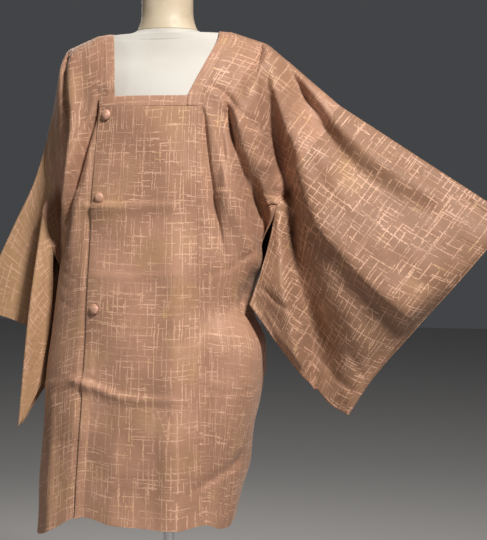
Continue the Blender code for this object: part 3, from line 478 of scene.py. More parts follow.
def tuck(x, height):
    # How far the under front lies behind the upper one near and past the upper one's edge
    besideEdge = smoothStep((x - lapEdge(height) + tucked["beside"]) / tucked["width"])
    below = smoothStep((coat["bandFoot"] + tucked["above"] - height) / tucked["fade"])
    return cloth["lap"] * besideEdge * below


def shoulderFold(arm, share):
    # The fold over the shoulder and down the arm, from the neck band to the sleeve seam
    sign = arm["sign"]
    run = Vector((coat["shoulderHalf"] - coat["neckHalf"], 0.0, coat["neckRidge"] - coat["shoulderTip"]))
    tip = np.array((sign * coat["shoulderHalf"], 0.0, coat["shoulderTip"]))
    inward = np.array((-sign * run.x, 0.0, run.z)) / run.length
    downArm = np.array(Vector(arm["arm"]).normalized())
    gone = np.atleast_1d(share) * (run.length + coat["armToSeam"]) - run.length
    corner = coat["shoulderCorner"]
    t = np.clip((gone + corner) / (2 * corner), 0.0, 1.0)
    rounded = tip + inward * corner * ((1 - t) ** 2)[:, None] + downArm * corner * (t**2)[:, None]
    further = np.maximum(0.0, gone - corner)[:, None] * downArm
    before = np.maximum(0.0, -corner - gone)[:, None] * inward
    return rounded + further + before


def fanDepth(arm, x, z):
    if arm["sign"] < 0:
        return np.zeros(np.shape(x))
    fromTip = np.hypot(x - coat["shoulderHalf"], z - coat["shoulderTip"])
    return foldDepth(fanFolds, x, z) * smoothStep(fromTip / 0.05)


def armhole(arm, share, face, fanned=True):
    # The sleeve seam, from the fold at the top (0) to the underarm (1)
    if arm["sign"] < 0:
        return rightLayer(share, np.zeros(np.shape(share)), face)
    top = shoulderFold(arm, np.ones(1))
    under = np.array(arm["underarm"] if face > 0 else arm["underarmBack"])
    place = lerp(top, under, share)
    place[:, 1] -= face * coat["armholeFull"] * np.sin(math.pi * np.minimum(1.0, share)) ** 0.7
    if fanned:
        place[:, 1] -= fanDepth(arm, place[:, 0], place[:, 2]) * smoothStep((1 - share) / coat["seamFade"])
    return place


def bustRow(arm, share, face):
    # The level row at the bust, from the inner edge (0) to the underarm (1)
    rows = [list(row) for row in arm["frontRow" if face > 0 else "backRow"]]
    under = arm["underarm" if face > 0 else "underarmBack"]
    rows.append([1.0, under[0], under[1]])
    rows[0][2] = chest(rows[0][1], coat["bust"], face)[0, 1]
    x, y = tableAt(rows, share).T
    y = mix(chest(x, coat["bust"], face)[:, 1], y, smoothStep((share - coat["plainChest"]) / 0.2))
    return points(x, y, mix(coat["bust"], under[2], smoothStep((share - 0.35) / 0.65)))


def frontInner(arm, height):
    # Inner edge of the front length: down the neck band, then down the front seam
    return arm["sign"] * tableAt(arm["neckline"], height)[:, 0]


def backInner(arm, drop):
    # Inner edge of the back length: round the neck, then down the centre seam
    share = np.minimum(1.0, drop / neckDrop)
    curve = np.sqrt(np.maximum(0.0, 1.0 - share ** coat["neckRound"]))
    return arm["sign"] * mix(2 * cloth["seam"], coat["neckHalf"], curve)


def upperBody(arm, share, drop, face):
    # The cloth between the shoulder fold (drop 0) and the bust (drop 1)
    top, foot = shoulderFold(arm, share), bustRow(arm, share, face)
    height = mix(top[:, 2], foot[:, 2], drop)
    hang = (1.0 - drop) ** mix(coat["neckHang"], 1.0, smoothStep(share))
    x = mix(foot[:, 0], top[:, 0], hang)
    near = 1.0 - smoothStep((share - coat["plainChest"]) / 0.24)
    start = bustRow(arm, np.zeros(1), face)[0, 0]
    plain = mix(start, arm["sign"] * coat["neckHalf"], (1.0 - drop) ** coat["neckHang"])
    sameDrop = mix(coat["neckRidge"], coat["bust"], drop)
    inner = frontInner(arm, sameDrop) if face > 0 else backInner(arm, drop)
    x = x + (inner - plain) * (near if face > 0 else 1.0 - smoothStep(share / 0.6))
    place = points(x, foot[:, 1] * rise(height, foot[:, 2], top[:, 2]), height)
    place = lerp(place, chest(x, height, face), near)
    far = smoothStep((share - 0.25) / 0.45)
    fan = fanDepth(arm, place[:, 0], place[:, 2]) * far * (1 - smoothStep((drop - 0.86) / 0.14))
    place[:, 1] -= fan
    place = lerp(place, armhole(arm, drop, face), smoothStep((share - 0.75) / 0.25))
    fading = betweenEnds(share, 0.08, 0.1) * smoothStep(drop / 0.06)
    place[:, 1] -= face * ownFolds(arm, place[:, 0], place[:, 2], face) * fading
    if arm["sign"] < 0 < face:
        place[:, 1] += tuck(place[:, 0], place[:, 2])
    return place


def ownFolds(arm, x, z, face):
    # Creases of one side's chest or shoulder blade
    if arm["sign"] > 0:
        return foldDepth(leftChestFolds if face > 0 else leftBackFolds, x, z)
    return foldDepth(rightChestFolds if face > 0 else rightBackFolds, x, z)


def lowerBody(arm, share, drop, face):
    # The cloth from the bust (drop 0) to the hem (drop 1)
    sign = arm["sign"]
    top = bustRow(arm, share, face)
    innerX = sign * (coat["bandSide"] if face > 0 else 2 * cloth["seam"])
    side = sign * (90.0 - (0.2 if face > 0 else -0.2))
    spread = share**0.9
    hemAngle = mix(angleOf(innerX, np.full(share.shape, 0.8), face, sign), side, spread)
    height = mix(top[:, 2], hemHeight(hemAngle), drop)
    hung = level(mix(angleOf(innerX, height, face, sign), side, spread), height)
    gone = top[:, 2] - height
    slit = coat["leftSlit"] if sign > 0 < face else None
    free = 1.0 - smoothStep(gone / (slit if slit else top[:, 2] - coat["slitFoot"]))
    offset = top - level(mix(angleOf(innerX, top[:, 2], face, sign), side, spread), top[:, 2])
    offset[:, 2] = 0.0
    place = hung + offset * free[:, None]
    fading = smoothStep(1.0 - gone / coat["chestFade"]) * betweenEnds(share, 0.08, 0.1)
    place[:, 1] -= face * ownFolds(arm, place[:, 0], place[:, 2], face) * fading
    if sign < 0 < face:
        place[:, 1] += tuck(place[:, 0], place[:, 2])
    gap = 0.5 * cloth["seam"] + 0.5 * cloth["wall"]
    sewn = (share > 0.9) & (height < coat["slitFoot"] + 0.02)
    kept = np.minimum(place[:, 1], -gap) if face > 0 else np.maximum(place[:, 1], gap)
    place[:, 1] = np.where(sewn, kept, place[:, 1])
    return place


# The right sleeve's top fold: share of its length, x, y, z
rightTop = ((0.0, -0.2283, 0.0, 1.1881), (0.25, -0.2552, 0.0, 1.1105), (0.5, -0.2942, 0.0, 1.0345),
            (0.75, -0.333, 0.0, 0.957), (1.0, -0.371, 0.0, 0.879))
# The right sleeve's fold lines: how far round from the top fold (0) to the inner edge (1), and the
# points that each passes at these shares of its length
rightLines = (
    (0.0, rightTop),
    (0.3, ((0.0, -0.232, 0.002, 1.135), (0.5, -0.262, 0.006, 0.99), (1.0, -0.283, 0.008, 0.851))),
    (0.5, ((0.0, -0.217, -0.004, 1.1), (0.25, -0.227, 0.01, 1.028), (0.5, -0.231, 0.02, 0.955),
            (1.0, -0.231, 0.04, 0.812))),
    (0.66, ((0.0, -0.22, -0.04, 1.068), (0.5, -0.242, -0.054, 0.885), (1.0, -0.262, -0.046, 0.686))),
    (1.0, ((0.0, -0.203, -0.038, 1.0), (0.5, -0.209, -0.034, 0.88), (1.0, -0.229, -0.043, 0.752))),
)
rightBackLines = (
    (0.0, rightTop),
    (0.3, ((0.0, -0.232, 0.024, 1.135), (0.5, -0.262, 0.026, 0.99), (1.0, -0.283, 0.029, 0.851))),
    (0.5, ((0.0, -0.222, 0.033, 1.1), (0.25, -0.229, 0.039, 1.028), (0.5, -0.222, 0.039, 0.955),
            (1.0, -0.216, 0.06, 0.812))),
    (0.66, ((0.0, -0.213, 0.034, 1.068), (0.25, -0.211, 0.0, 0.976), (0.5, -0.231, -0.04, 0.885),
            (1.0, -0.258, -0.036, 0.69))),
    (1.0, ((0.0, -0.206, 0.03, 1.0), (0.25, -0.206, 0.002, 0.94), (0.5, -0.212, -0.022, 0.88),
            (1.0, -0.227, -0.037, 0.753))),
)


def rightLayer(turned, down, face):
    # Points of the right sleeve's front (1) or back (-1) layer
    turned, down = np.broadcast_arrays(np.atleast_1d(turned), down)
    lines = rightLines if face > 0 else rightBackLines
    values = np.stack([tableAt(line, down) for _, line in lines])
    place = curveThrough([share for share, _ in lines], values, turned)
    place[:, 1] -= face * foldRound(turned * mix(0.2, 0.31, down))
    return place


# Making pieces


def meshOf(name, piece):
    mesh = bpy.data.meshes.new(name)
    piece.to_mesh(mesh)
    piece.free()
    return mesh


def softEdge(obj, width, segments, angle):
    edge = obj.modifiers.new("soft edge", "BEVEL")
    edge.width = width
    edge.segments = segments
    edge.limit_method = "ANGLE"
    edge.angle_limit = math.radians(angle)
    obj.modifiers.new("shading", "WEIGHTED_NORMAL")


def spun(profile, steps):
    # A closed shape from an outline of (x, z) places, from the axis round and back to it
    piece = bmesh.new()
    verts = [piece.verts.new((x, 0.0, z)) for x, z in profile]
    edges = [piece.edges.new(pair) for pair in zip(verts, verts[1:])]
    bmesh.ops.spin(piece, geom=verts + edges, cent=(0, 0, 0), axis=(0, 0, 1), angle=math.tau,
                   steps=steps, use_merge=True)
    bmesh.ops.remove_doubles(piece, verts=piece.verts, dist=cloth["merge"])
    bmesh.ops.recalc_face_normals(piece, faces=piece.faces)
    return piece


def shares(*stops):
    # Shares from pairs of a place and the number of steps up to it
    places = [0.0]
    for stop, steps in stops:
        start = places[-1]
        places += [mix(start, stop, (i + 1) / steps) for i in range(steps)]
    return np.array(places)


def rolledEdges(laid, edges):
    # Turns the named edges of a sheet in by a little, as a seam does
    rowWay, columnWay = np.gradient(laid, axis=0), np.gradient(laid, axis=1)
    out = np.cross(columnWay, rowWay)
    out /= np.maximum(np.linalg.norm(out, axis=-1, keepdims=True), 1e-12)
    out *= np.where(out[..., 1:2] * laid[..., 1:2] < 0, -1.0, 1.0)
    rolled = laid.copy()
    for edge in edges:
        axis = 1 if edge in ("inner", "outer") else 0
        line = laid if edge in ("inner", "start") else np.flip(laid, axis)
        steps = np.linalg.norm(np.diff(line, axis=axis), axis=-1)
        pad = [(1, 0), (0, 0)] if axis == 0 else [(0, 0), (1, 0)]
        far = np.pad(np.cumsum(steps, axis=axis), pad)
        far = far if edge in ("inner", "start") else np.flip(far, axis)
        near = np.clip(1.0 - far / cloth["rollWidth"], 0.0, 1.0) ** 2
        rolled -= out * near[..., None] * cloth["roll"]
    return rolled


def layCloth(laid, start):
    # Where each point of a sheet lies on the flat cloth, in metres: across and along
    across = np.linalg.norm(np.diff(laid, axis=1), axis=-1).mean(axis=0)
    along = np.linalg.norm(np.diff(laid, axis=0), axis=-1).mean(axis=1)
    u, v = np.meshgrid(np.append(0.0, np.cumsum(across)), np.append(0.0, np.cumsum(along)))
    return np.stack((u, v), axis=-1) + np.array(start)


def clothSheet(name, place, across, along, look, start=(0.0, 0.0), rolled=(), closed=False, laidOut=None):
    # A wall of cloth: a grid whose columns and rows take these shares, laid by place()
    columns, rows = len(across), len(along)
    grid = bmesh.new()
    bmesh.ops.create_grid(grid, x_segments=columns - 1, y_segments=rows - 1, size=0.5)
    mesh = meshOf(name, grid)
    spots = np.empty(len(mesh.vertices) * 3)
    mesh.vertices.foreach_get("co", spots)
    spots = spots.reshape(-1, 3)
    column = np.rint((spots[:, 0] + 0.5) * (columns - 1)).astype(int)
    row = np.rint((spots[:, 1] + 0.5) * (rows - 1)).astype(int)
    laid = np.empty((rows, columns, 3))
    laid[row, column] = place(across[column], along[row])
    flat = layCloth(laid, start)
    if laidOut:
        flat = laidOut(flat, across, along)
    laid = rolledEdges(laid, rolled)
    mesh.vertices.foreach_set("co", laid[row, column].ravel())
    corners = np.empty(len(mesh.loops), int)
    mesh.loops.foreach_get("vertex_index", corners)
    layer = mesh.uv_layers.new(name="cloth")
    layer.data.foreach_set("uv", flat[row, column][corners].ravel())
    if closed:
        tube = bmesh.new()
        tube.from_mesh(mesh)
        bmesh.ops.remove_doubles(tube, verts=tube.verts, dist=cloth["merge"])
        tube.to_mesh(mesh)
        tube.free()
    mesh.update()
    obj = addPiece(name, mesh, look)
    wall = obj.modifiers.new("wall", "SOLIDIFY")
    wall.thickness = cloth["wall"]
    wall.offset = 0.0
    softEdge(obj, 0.0005, 2, 60)
    return obj


def addObject(name, data):
    obj = bpy.data.objects.new(name, data)
    bpy.context.scene.collection.objects.link(obj)
    return obj


def addPiece(name, mesh, look):
    mesh.materials.append(look)
    mesh.shade_smooth()
    obj = addObject(name + "_piece", mesh)
    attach(obj, "root")
    return obj


def byFace(share, along, front, back):
    # Lays the points with a negative along by front() and the others by back()
    place = np.empty((len(share), 3))
    ahead = along < 0
    if ahead.any():
        place[ahead] = front(share[ahead], -along[ahead])
    if (~ahead).any():
        place[~ahead] = back(share[~ahead], along[~ahead])
    return place


# Materials


def feed(tree, node, inputs):
    # Gives sockets of a node a value, or links them to another socket
    for socket, value in inputs.items():
        if isinstance(value, bpy.types.NodeSocket):
            tree.links.new(value, node.inputs[socket])
        else:
            node.inputs[socket].default_value = value


def add(tree, kind, inputs=None, **settings):
    node = tree.nodes.new(kind)
    for name, value in settings.items():
        setattr(node, name, value)
    feed(tree, node, inputs or {})
    return node


def calc(tree, operation, *values, clamp=False):
    node = add(tree, "ShaderNodeMath", dict(enumerate(values)), operation=operation, use_clamp=clamp)
    return node.outputs[0]


def ramp(tree, value, low, high, first=0.0, last=1.0):
    # A smooth step from first to last as the value goes from low to high
    node = add(
        tree, "ShaderNodeMapRange",
        {"Value": value, "From Min": low, "From Max": high, "To Min": first, "To Max": last},
        interpolation_type="SMOOTHSTEP",
    )
    return node.outputs["Result"]


def noise(tree, vector, scale, detail=2.0, roughness=0.5):
    node = add(tree, "ShaderNodeTexNoise", {"Vector": vector, "Scale": scale, "Detail": detail,
                                            "Roughness": roughness})
    return node.outputs[0]


def blendColour(tree, share, first, last):
    # The mix node's sockets for colours are its seventh and eighth
    return add(tree, "ShaderNodeMix", {0: share, 6: first, 7: last}, data_type="RGBA").outputs[2]


def newLook(name):
    look = bpy.data.materials.new(name)
    look.use_nodes = True
    shader = look.node_tree.nodes["Principled BSDF"]
    return look, look.node_tree, shader


def finishLook(tree, shader, colour, roughness, strength, distance, height, more=None):
    bump = add(tree, "ShaderNodeBump", {"Strength": strength, "Distance": distance, "Height": height})
    feed(tree, shader, {"Base Color": colour, "Roughness": roughness, "Normal": bump.outputs[0]})
    feed(tree, shader, more or {})


def moved(tree, vector, **settings):
    return add(tree, "ShaderNodeMapping", {"Vector": vector, **settings}).outputs[0]


def objectPlace(tree):
    return add(tree, "ShaderNodeTexCoord").outputs["Object"]


def strokes(tree, across, along, fuzz, knots, spacing, length, width, kept, seed):
    # Broken lines woven along one way of the cloth: 1 on a line, 0 beside it
    lane = calc(tree, "DIVIDE", across, spacing)
    column = calc(tree, "FLOOR", lane)
    shift = add(tree, "ShaderNodeTexWhiteNoise", {"W": calc(tree, "ADD", column, seed)},
                noise_dimensions="1D").outputs["Value"]
    run = calc(tree, "MULTIPLY_ADD", shift, 7.0, calc(tree, "DIVIDE", along, length))
    cell = calc(tree, "FLOOR", run)
    spot = add(tree, "ShaderNodeCombineXYZ", {"X": column, "Y": cell, "Z": seed}).outputs[0]
    chance = add(tree, "ShaderNodeTexWhiteNoise", {"Vector": spot}, noise_dimensions="3D")
    parts = add(tree, "ShaderNodeSeparateColor", {0: chance.outputs["Color"]})
    centre = ramp(tree, parts.outputs[0], 0.0, 1.0, 0.24, 0.76)
    aside = calc(tree, "SUBTRACT", calc(tree, "FRACT", lane), centre)
    fromMiddle = calc(tree, "SUBTRACT", calc(tree, "FRACT", run), 0.5)
    lean = calc(tree, "MULTIPLY", calc(tree, "SUBTRACT", parts.outputs[1], 0.5), fromMiddle)
    aside = calc(tree, "MULTIPLY_ADD", lean, 0.3, aside)
    off = calc(tree, "MULTIPLY", calc(tree, "ABSOLUTE", aside), spacing)
    off = calc(tree, "MULTIPLY_ADD", fuzz, width * 0.6, off)
    thick = ramp(tree, knots, 0.3, 0.75, width * 0.22, width * 0.62)
    line = calc(tree, "SUBTRACT", 1.0, ramp(tree, calc(tree, "DIVIDE", off, thick), 0.6, 1.3))
    half = calc(tree, "MULTIPLY_ADD", parts.outputs[2], 0.28, 0.19)
    end = calc(tree, "SUBTRACT", calc(tree, "ABSOLUTE", fromMiddle), half)
    end = calc(tree, "MULTIPLY_ADD", fuzz, 0.06, end)
    inside = calc(tree, "SUBTRACT", 1.0, ramp(tree, end, -0.01, 0.03))
    there = calc(tree, "LESS_THAN", chance.outputs["Value"], kept)
    return calc(tree, "MULTIPLY", calc(tree, "MULTIPLY", line, inside), there)


silk = {
    "ground": (0.405, 0.219, 0.145, 1.0),
    "shade": (0.275, 0.142, 0.088, 1.0),
    # painted shade: the deep brown a piece is darkened toward, standing in for the shade it falls in
    "paintedShade": (0.16, 0.08, 0.04, 1.0),
    "gold": (0.38, 0.222, 0.11, 1.0),
    # the cloth's pinker tone; blended over a whole piece it is partly painted sheen that lightens it
    "roseAndPaintedSheen": (0.64, 0.345, 0.245, 1.0),
    "line": (0.64, 0.385, 0.265, 1.0),
    "lineGold": (0.59, 0.36, 0.19, 1.0),
    "roughness": 0.6,
}
sheen = {"Sheen Weight": 0.12, "Sheen Tint": (1.0, 0.82, 0.7, 1.0)}

# Layers of woven lines: spacing, length, width, share kept
lengthLines = ((0.0145, 0.08, 0.0024, 0.84), (0.024, 0.12, 0.0022, 0.66), (0.01, 0.036, 0.0016, 0.44))
crossLines = ((0.0175, 0.05, 0.0024, 0.8), (0.027, 0.084, 0.0021, 0.58), (0.012, 0.028, 0.0016, 0.4))
slantLine = (0.046, 0.06, 0.0015, 0.28)
ruledLine = (0.0036, 0.034, 0.0011, 0.66)
# Unsteadiness of the lines: scale and detail of its noise, and how far it shifts them
shifts = ((26.0, 1.5, 0.0026), (150.0, 1.0, 0.0016))


def bentPlace(tree, placed):
    bent = placed
    for scale, detail, reach in shifts:
        grain = add(tree, "ShaderNodeTexNoise", {"Vector": placed, "Scale": scale, "Detail": detail})
        shift = add(tree, "ShaderNodeVectorMath", {0: grain.outputs["Color"], 1: (0.5, 0.5, 0.5)},
                    operation="SUBTRACT").outputs[0]
        bent = add(tree, "ShaderNodeVectorMath", {0: shift, 1: (reach, reach, 0.0), 2: bent},
                   operation="MULTIPLY_ADD").outputs[0]
    return bent


def wovenLines(tree, placed, bent, knots, seed):
    # Lines along and across the cloth, a few on the slant, and patches of fine ruling
    fuzz = calc(tree, "SUBTRACT", noise(tree, placed, 900.0, 1.0), 0.5)

    def marks(across, along, layer, number):
        return strokes(tree, across, along, fuzz, knots, *layer, seed + number)

    def most(first, *others):
        for value in others:
            first = calc(tree, "MAXIMUM", first, value)
        return first

    u, v = add(tree, "ShaderNodeSeparateXYZ", {0: bent}).outputs[:2]
    slantU, slantV = add(tree, "ShaderNodeSeparateXYZ",
                         {0: moved(tree, bent, Rotation=(0.0, 0.0, 0.5))}).outputs[:2]
    lines = [marks(u, v, layer, 3.0 * i) for i, layer in enumerate(lengthLines)]
    lines += [marks(v, u, layer, 11.0 + 3.0 * i) for i, layer in enumerate(crossLines)]
    lines.append(marks(slantU, slantV, slantLine, 40.0))
    patch = noise(tree, placed, 17.0, 1.0)
    ruledLong = calc(tree, "MULTIPLY", marks(u, v, ruledLine, 60.0), ramp(tree, patch, 0.56, 0.62))
    ruledCross = calc(tree, "MULTIPLY", marks(v, u, ruledLine, 70.0), ramp(tree, patch, 0.44, 0.38))
    return most(*lines, calc(tree, "MULTIPLY", most(ruledLong, ruledCross), 0.55))


def silkGround(tree, placed, bent, weave, tint, paintedShade):
    # The cloth's colour: broad changes of tone, brushed and mottled patches, crepe grain, a rose
    #     # tint that is partly painted sheen, and painted shade over the whole piece
    tone = noise(tree, objectPlace(tree), 7.0, 2.0)
    ground = blendColour(tree, ramp(tree, tone, 0.35, 0.68), silk["shade"], silk["ground"])
    # rose tint: partly the cloth's pinker tone, partly painted sheen that lightens the piece
    ground = blendColour(tree, tint[1], ground, silk["roseAndPaintedSheen"])
    # painted shade: the whole ground is darkened toward deep brown by the piece's share
    ground = blendColour(tree, paintedShade, ground, silk["paintedShade"])
    golden = calc(tree, "ADD", noise(tree, placed, 11.0, 1.5), tint[0])
    ground = blendColour(tree, ramp(tree, golden, 0.62, 1.05), ground, silk["gold"])
    brushed = []
    for number, stretch in enumerate(((34.0, 300.0, 1.0), (300.0, 34.0, 1.0))):
        streak = noise(tree, moved(tree, bent, Scale=stretch), 1.0, 2.0, 0.6)
        field = noise(tree, moved(tree, placed, Location=(3.0 * number, 5.0, 2.0)), 15.0, 1.0)
        brushed.append(calc(tree, "MULTIPLY", ramp(tree, streak, 0.46, 0.62), ramp(tree, field, 0.5, 0.62)))
    brush = calc(tree, "MULTIPLY", calc(tree, "MAXIMUM", *brushed), 0.55)
    ground = blendColour(tree, brush, ground, silk["shade"])
    mottled = noise(tree, placed, 130.0, 3.0, 0.6)
    ground = blendColour(tree, ramp(tree, mottled, 0.42, 0.72, 0.0, 0.22), ground, silk["shade"])
    return blendColour(tree, ramp(tree, weave, 0.45, 1.0, 0.0, 0.2), ground, silk["line"])


def silkLook(name, tint, seed, paintedShade=0.0):
    # Jacquard silk: fuzzy broken lines in both directions of the cloth over a crepe ground. The last
    #     # argument is the share of painted shade that darkens the whole piece
    look, tree, shader = newLook(name)
    uv = add(tree, "ShaderNodeUVMap", uv_map="cloth").outputs[0]
    placed = moved(tree, uv, Location=(seed * 0.37, seed * 0.61, seed))
    bent = bentPlace(tree, placed)
    knots = noise(tree, placed, 260.0, 2.0)
    lines = wovenLines(tree, placed, bent, knots, seed)
    crepe = noise(tree, placed, 2600.0, 2.0, 0.6)
    threads = add(tree, "ShaderNodeTexWave", {"Vector": placed, "Scale": 420.0, "Distortion": 3.0,
                                              "Detail": 1.0, "Detail Scale": 2.0}, bands_direction="Y")
    weave = calc(tree, "MULTIPLY_ADD", threads.outputs[1], 0.4, crepe)
    ground = silkGround(tree, placed, bent, weave, tint, paintedShade)
    lineTint = ramp(tree, noise(tree, placed, 21.0, 1.0), 0.56, 0.74)
    lineColour = blendColour(tree, lineTint, silk["line"], silk["lineGold"])
    faint = ramp(tree, noise(tree, placed, 24.0, 1.0), 0.36, 0.62, 0.35, 1.0)
    strength = calc(tree, "MULTIPLY", lines, ramp(tree, knots, 0.25, 0.58, 0.42, 0.9))
    colour = blendColour(tree, calc(tree, "MULTIPLY", strength, faint), ground, lineColour)
    dull = ramp(tree, weave, 0.3, 1.1, silk["roughness"] + 0.06, silk["roughness"] - 0.02)
    soft = noise(tree, placed, 120.0, 3.0, 0.55)
    height = calc(tree, "MULTIPLY_ADD", lines, 0.9, calc(tree, "MULTIPLY", weave, 0.35))
    finishLook(tree, shader, colour, calc(tree, "MULTIPLY_ADD", lines, -0.1, dull), 0.55, 0.00035,
               calc(tree, "MULTIPLY_ADD", soft, 1.6, height),
               {**sheen, "Sheen Roughness": 0.35, "Specular IOR Level": 0.3})
    return look


print("materials")
# The last number is each piece's share of painted shade: light on the body, heavy on the sleeves, whose
# faces stand in shade
silkLeft = silkLook("silkLeft", (0.1, 0.05), 1.0, 0.12)
silkUpper = silkLook("silkUpper", (0.2, 0.0), 2.0)
# The under front takes the full rose tint: partly its pinker tone, partly painted sheen that lightens it
silkUnder = silkLook("silkUnder", (0.0, 1.0), 3.0)
silkRight = silkLook("silkRight", (0.2, 0.08), 4.0, 0.24)
silkSleeveLeft = silkLook("silkSleeveLeft", (0.1, 0.05), 5.0, 0.75)
silkSleeveRight = silkLook("silkSleeveRight", (0.6, 0.0), 6.0, 0.9)
silkBand = silkLook("silkBand", (0.1, 0.2), 7.0)

# The pieces of the coat

neckSteps = neckDrop * (1 - (1 - np.arange(15) / 14) ** 2)
bodyGrid = {
    "left": shares((1.0, 96)),
    "right": shares((1.0, 64)),
    "frontUpper": np.concatenate((neckSteps, np.linspace(neckDrop, 1.0, 81)[1:])),
    "frontLower": np.linspace(1.0, 2.0, 136)[1:],
    "backUpper": np.concatenate((neckSteps, np.linspace(neckDrop, 1.0, 51)[1:])),
    "backLower": np.linspace(1.0, 2.0, 91)[1:],
}


def bodyLength(name, arm, look):
    # Front and back in one length over the shoulder, open for the arm down to the side seam
    front = np.concatenate((bodyGrid["frontUpper"], bodyGrid["frontLower"]))
    along = np.concatenate((-front[:0:-1], bodyGrid["backUpper"], bodyGrid["backLower"]))
    columns = bodyGrid["left" if arm["sign"] > 0 else "right"]

    def place(across, along):
        def layer(face):
            def lay(share, gone):
                upper = gone <= 1.0
                laid = np.empty((len(share), 3))
                if upper.any():
                    laid[upper] = upperBody(arm, share[upper], gone[upper], face)
                if (~upper).any():
                    laid[~upper] = lowerBody(arm, share[~upper], gone[~upper] - 1.0, face)
                return leanOver(laid) if arm["sign"] > 0 < face else laid
            return lay

        return byFace(across, along, layer(1), layer(-1))

    obj = clothSheet(name, place, columns, along, look, rolled=("inner", "outer"))
    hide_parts(name)


bodyLength("body_left", leftArm, silkLeft)
bodyLength("body_right", rightArm, silkRight)
print("body lengths")


def frontOverlap(name, upper, look):
    # The part of a front that crosses the centre: the left one lies over the right one
    def place(across, along):
        foot = hemHeight(mix(-cloth["overlapTurn"], cloth["overlapTurn"], across))
        top = coat["bandFoot"] - cloth["close"]
        if upper:
            height = mix(top, foot, along)
            x = mix(lapEdge(height), coat["bandSide"] - cloth["close"], across)
            return chest(x, height, 1)
        height = mix(top, foot + cloth["lap"], along)
        x = mix(-coat["bandSide"] + 2 * cloth["seam"], coat["bandSide"], across)
        laid = chest(x, height, 1)
        laid[:, 1] += cloth["lap"]
        return laid

    rolled = ("start", "inner", "outer") if upper else ("start",)
    obj = clothSheet(name, place, shares((1.0, 50)), shares((1.0, 165)), look, (0.15, 0.3), rolled)
    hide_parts(name)


frontOverlap("front_overlap_left", True, silkUpper)
frontOverlap("front_overlap_right", False, silkUnder)


# How the band leans, stands up behind the neck and stays inward there
bandLay = {"lean": 0.1, "standing": 0.95, "inward": 0.25, "centre": 0.012}


def neckBand(name, arm, look):
    # The narrow band from the bottom corner of the neckline, over the shoulder, to the back
    sign = arm["sign"]
    gap = cloth["close"]

    def reachAt(across):
        return coat["band"] * (1.0 - across) + gap

    def front(across, drop):
        height = mix(coat["neckRidge"], coat["bust"], drop)
        height = np.maximum(height, coat["bandFoot"] + gap)
        laid = chest(frontInner(arm, height) - sign * reachAt(across), height, 1)
        laid[:, 2] += reachAt(across) * bandLay["lean"] * (1.0 - drop)
        if sign < 0:
            laid[:, 1] += tuck(laid[:, 0], laid[:, 2])
        return laid

    def back(across, drop):
        laid = chest(backInner(arm, drop), mix(coat["neckRidge"], coat["bust"], drop), -1)
        inward = points(-laid[:, 0], bandLay["centre"] - laid[:, 1], 0.0)
        inward /= np.linalg.norm(inward, axis=-1, keepdims=True)
        stand = smoothStep(np.sqrt(drop / neckDrop))
        laid += inward * (reachAt(across) * mix(1.0, bandLay["inward"], stand))[:, None]
        laid[:, 2] += reachAt(across) * mix(bandLay["lean"], bandLay["standing"], stand)
        laid[:, 0] = sign * np.maximum(np.abs(laid[:, 0]), 2 * cloth["seam"])
        return laid

    behind = neckDrop * (1 - (1 - np.arange(31) / 30) ** 2)
    along = np.concatenate((-np.linspace(bandDrop, 0.0, 44)[:-1], behind))
    obj = clothSheet(name, lambda a, b: byFace(a, b, front, back), shares((1.0, 8)), along, look,
                     (0.05 * sign, 0.2), ("outer", "inner"))
    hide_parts(name)


neckBand("neck_band_left", leftArm, silkBand)
neckBand("neck_band_right", rightArm, silkBand)


def bottomBand(name, look):
    # The band across the foot of the square neckline, on the upper front
    def place(across, along):
        height = mix(coat["bandFoot"] + coat["band"], coat["bandFoot"] + cloth["close"], along)
        end = frontInner(leftArm, height) - coat["band"] + 0.004
        laid = chest(mix(lapEdge(height), end, across), height, 1)
        laid[:, 1] += 0.0024 * smoothStep((laid[:, 0] - end + 0.009) / 0.004)  # under the side band
        return laid

    obj = clothSheet(name, place, shares((1.0, 44)), shares((1.0, 8)), look, (0.4, 0.1), ("start", "end"))
    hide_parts(name)


bottomBand("neck_band_front", silkBand)
print("fronts and neck band")

# Edges of the wearer's left sleeve: share of the edge, x, y, z
leftFuri = (
    (0.0, 0.202, -0.012, 1.071), (0.3, 0.193, -0.03, 1.01), (0.6, 0.182, -0.046, 0.96),
    (1.0, 0.163, -0.056, 0.9),
)
leftFuriBack = ((0.0, 0.203, 0.03, 1.071), (0.5, 0.2, 0.045, 0.975), (1.0, 0.18, 0.02, 0.886))
leftFoot = (
    (0.0, 0.17, -0.02, 0.893), (0.25, 0.206, -0.03, 0.838), (0.5, 0.252, -0.012, 0.768),
    (0.75, 0.292, -0.01, 0.721), (1.0, 0.33, -0.014, 0.706),
)
leftCuff = (
    (0.0, 0.608, 0.0, 1.048), (0.15, 0.571, -0.018, 1.003), (0.32, 0.518, -0.024, 0.94),
    (0.54, 0.449, -0.012, 0.862), (0.85, 0.362, -0.01, 0.757), (1.0, 0.33, -0.014, 0.706),
)
leftCuffBack = (
    (0.0, 0.608, 0.0, 1.048), (0.15, 0.568, 0.01, 1.006), (0.32, 0.517, 0.012, 0.943),
    (0.54, 0.449, -0.012, 0.862), (1.0, 0.33, -0.014, 0.706),
)


# The ridge across the front: its height, its share of the depth from the top fold, how sharp it is,
# and how full the sleeve is apart from it
ridge = {"high": 0.06, "at": 0.46, "sharp": 14, "belly": 0.018}


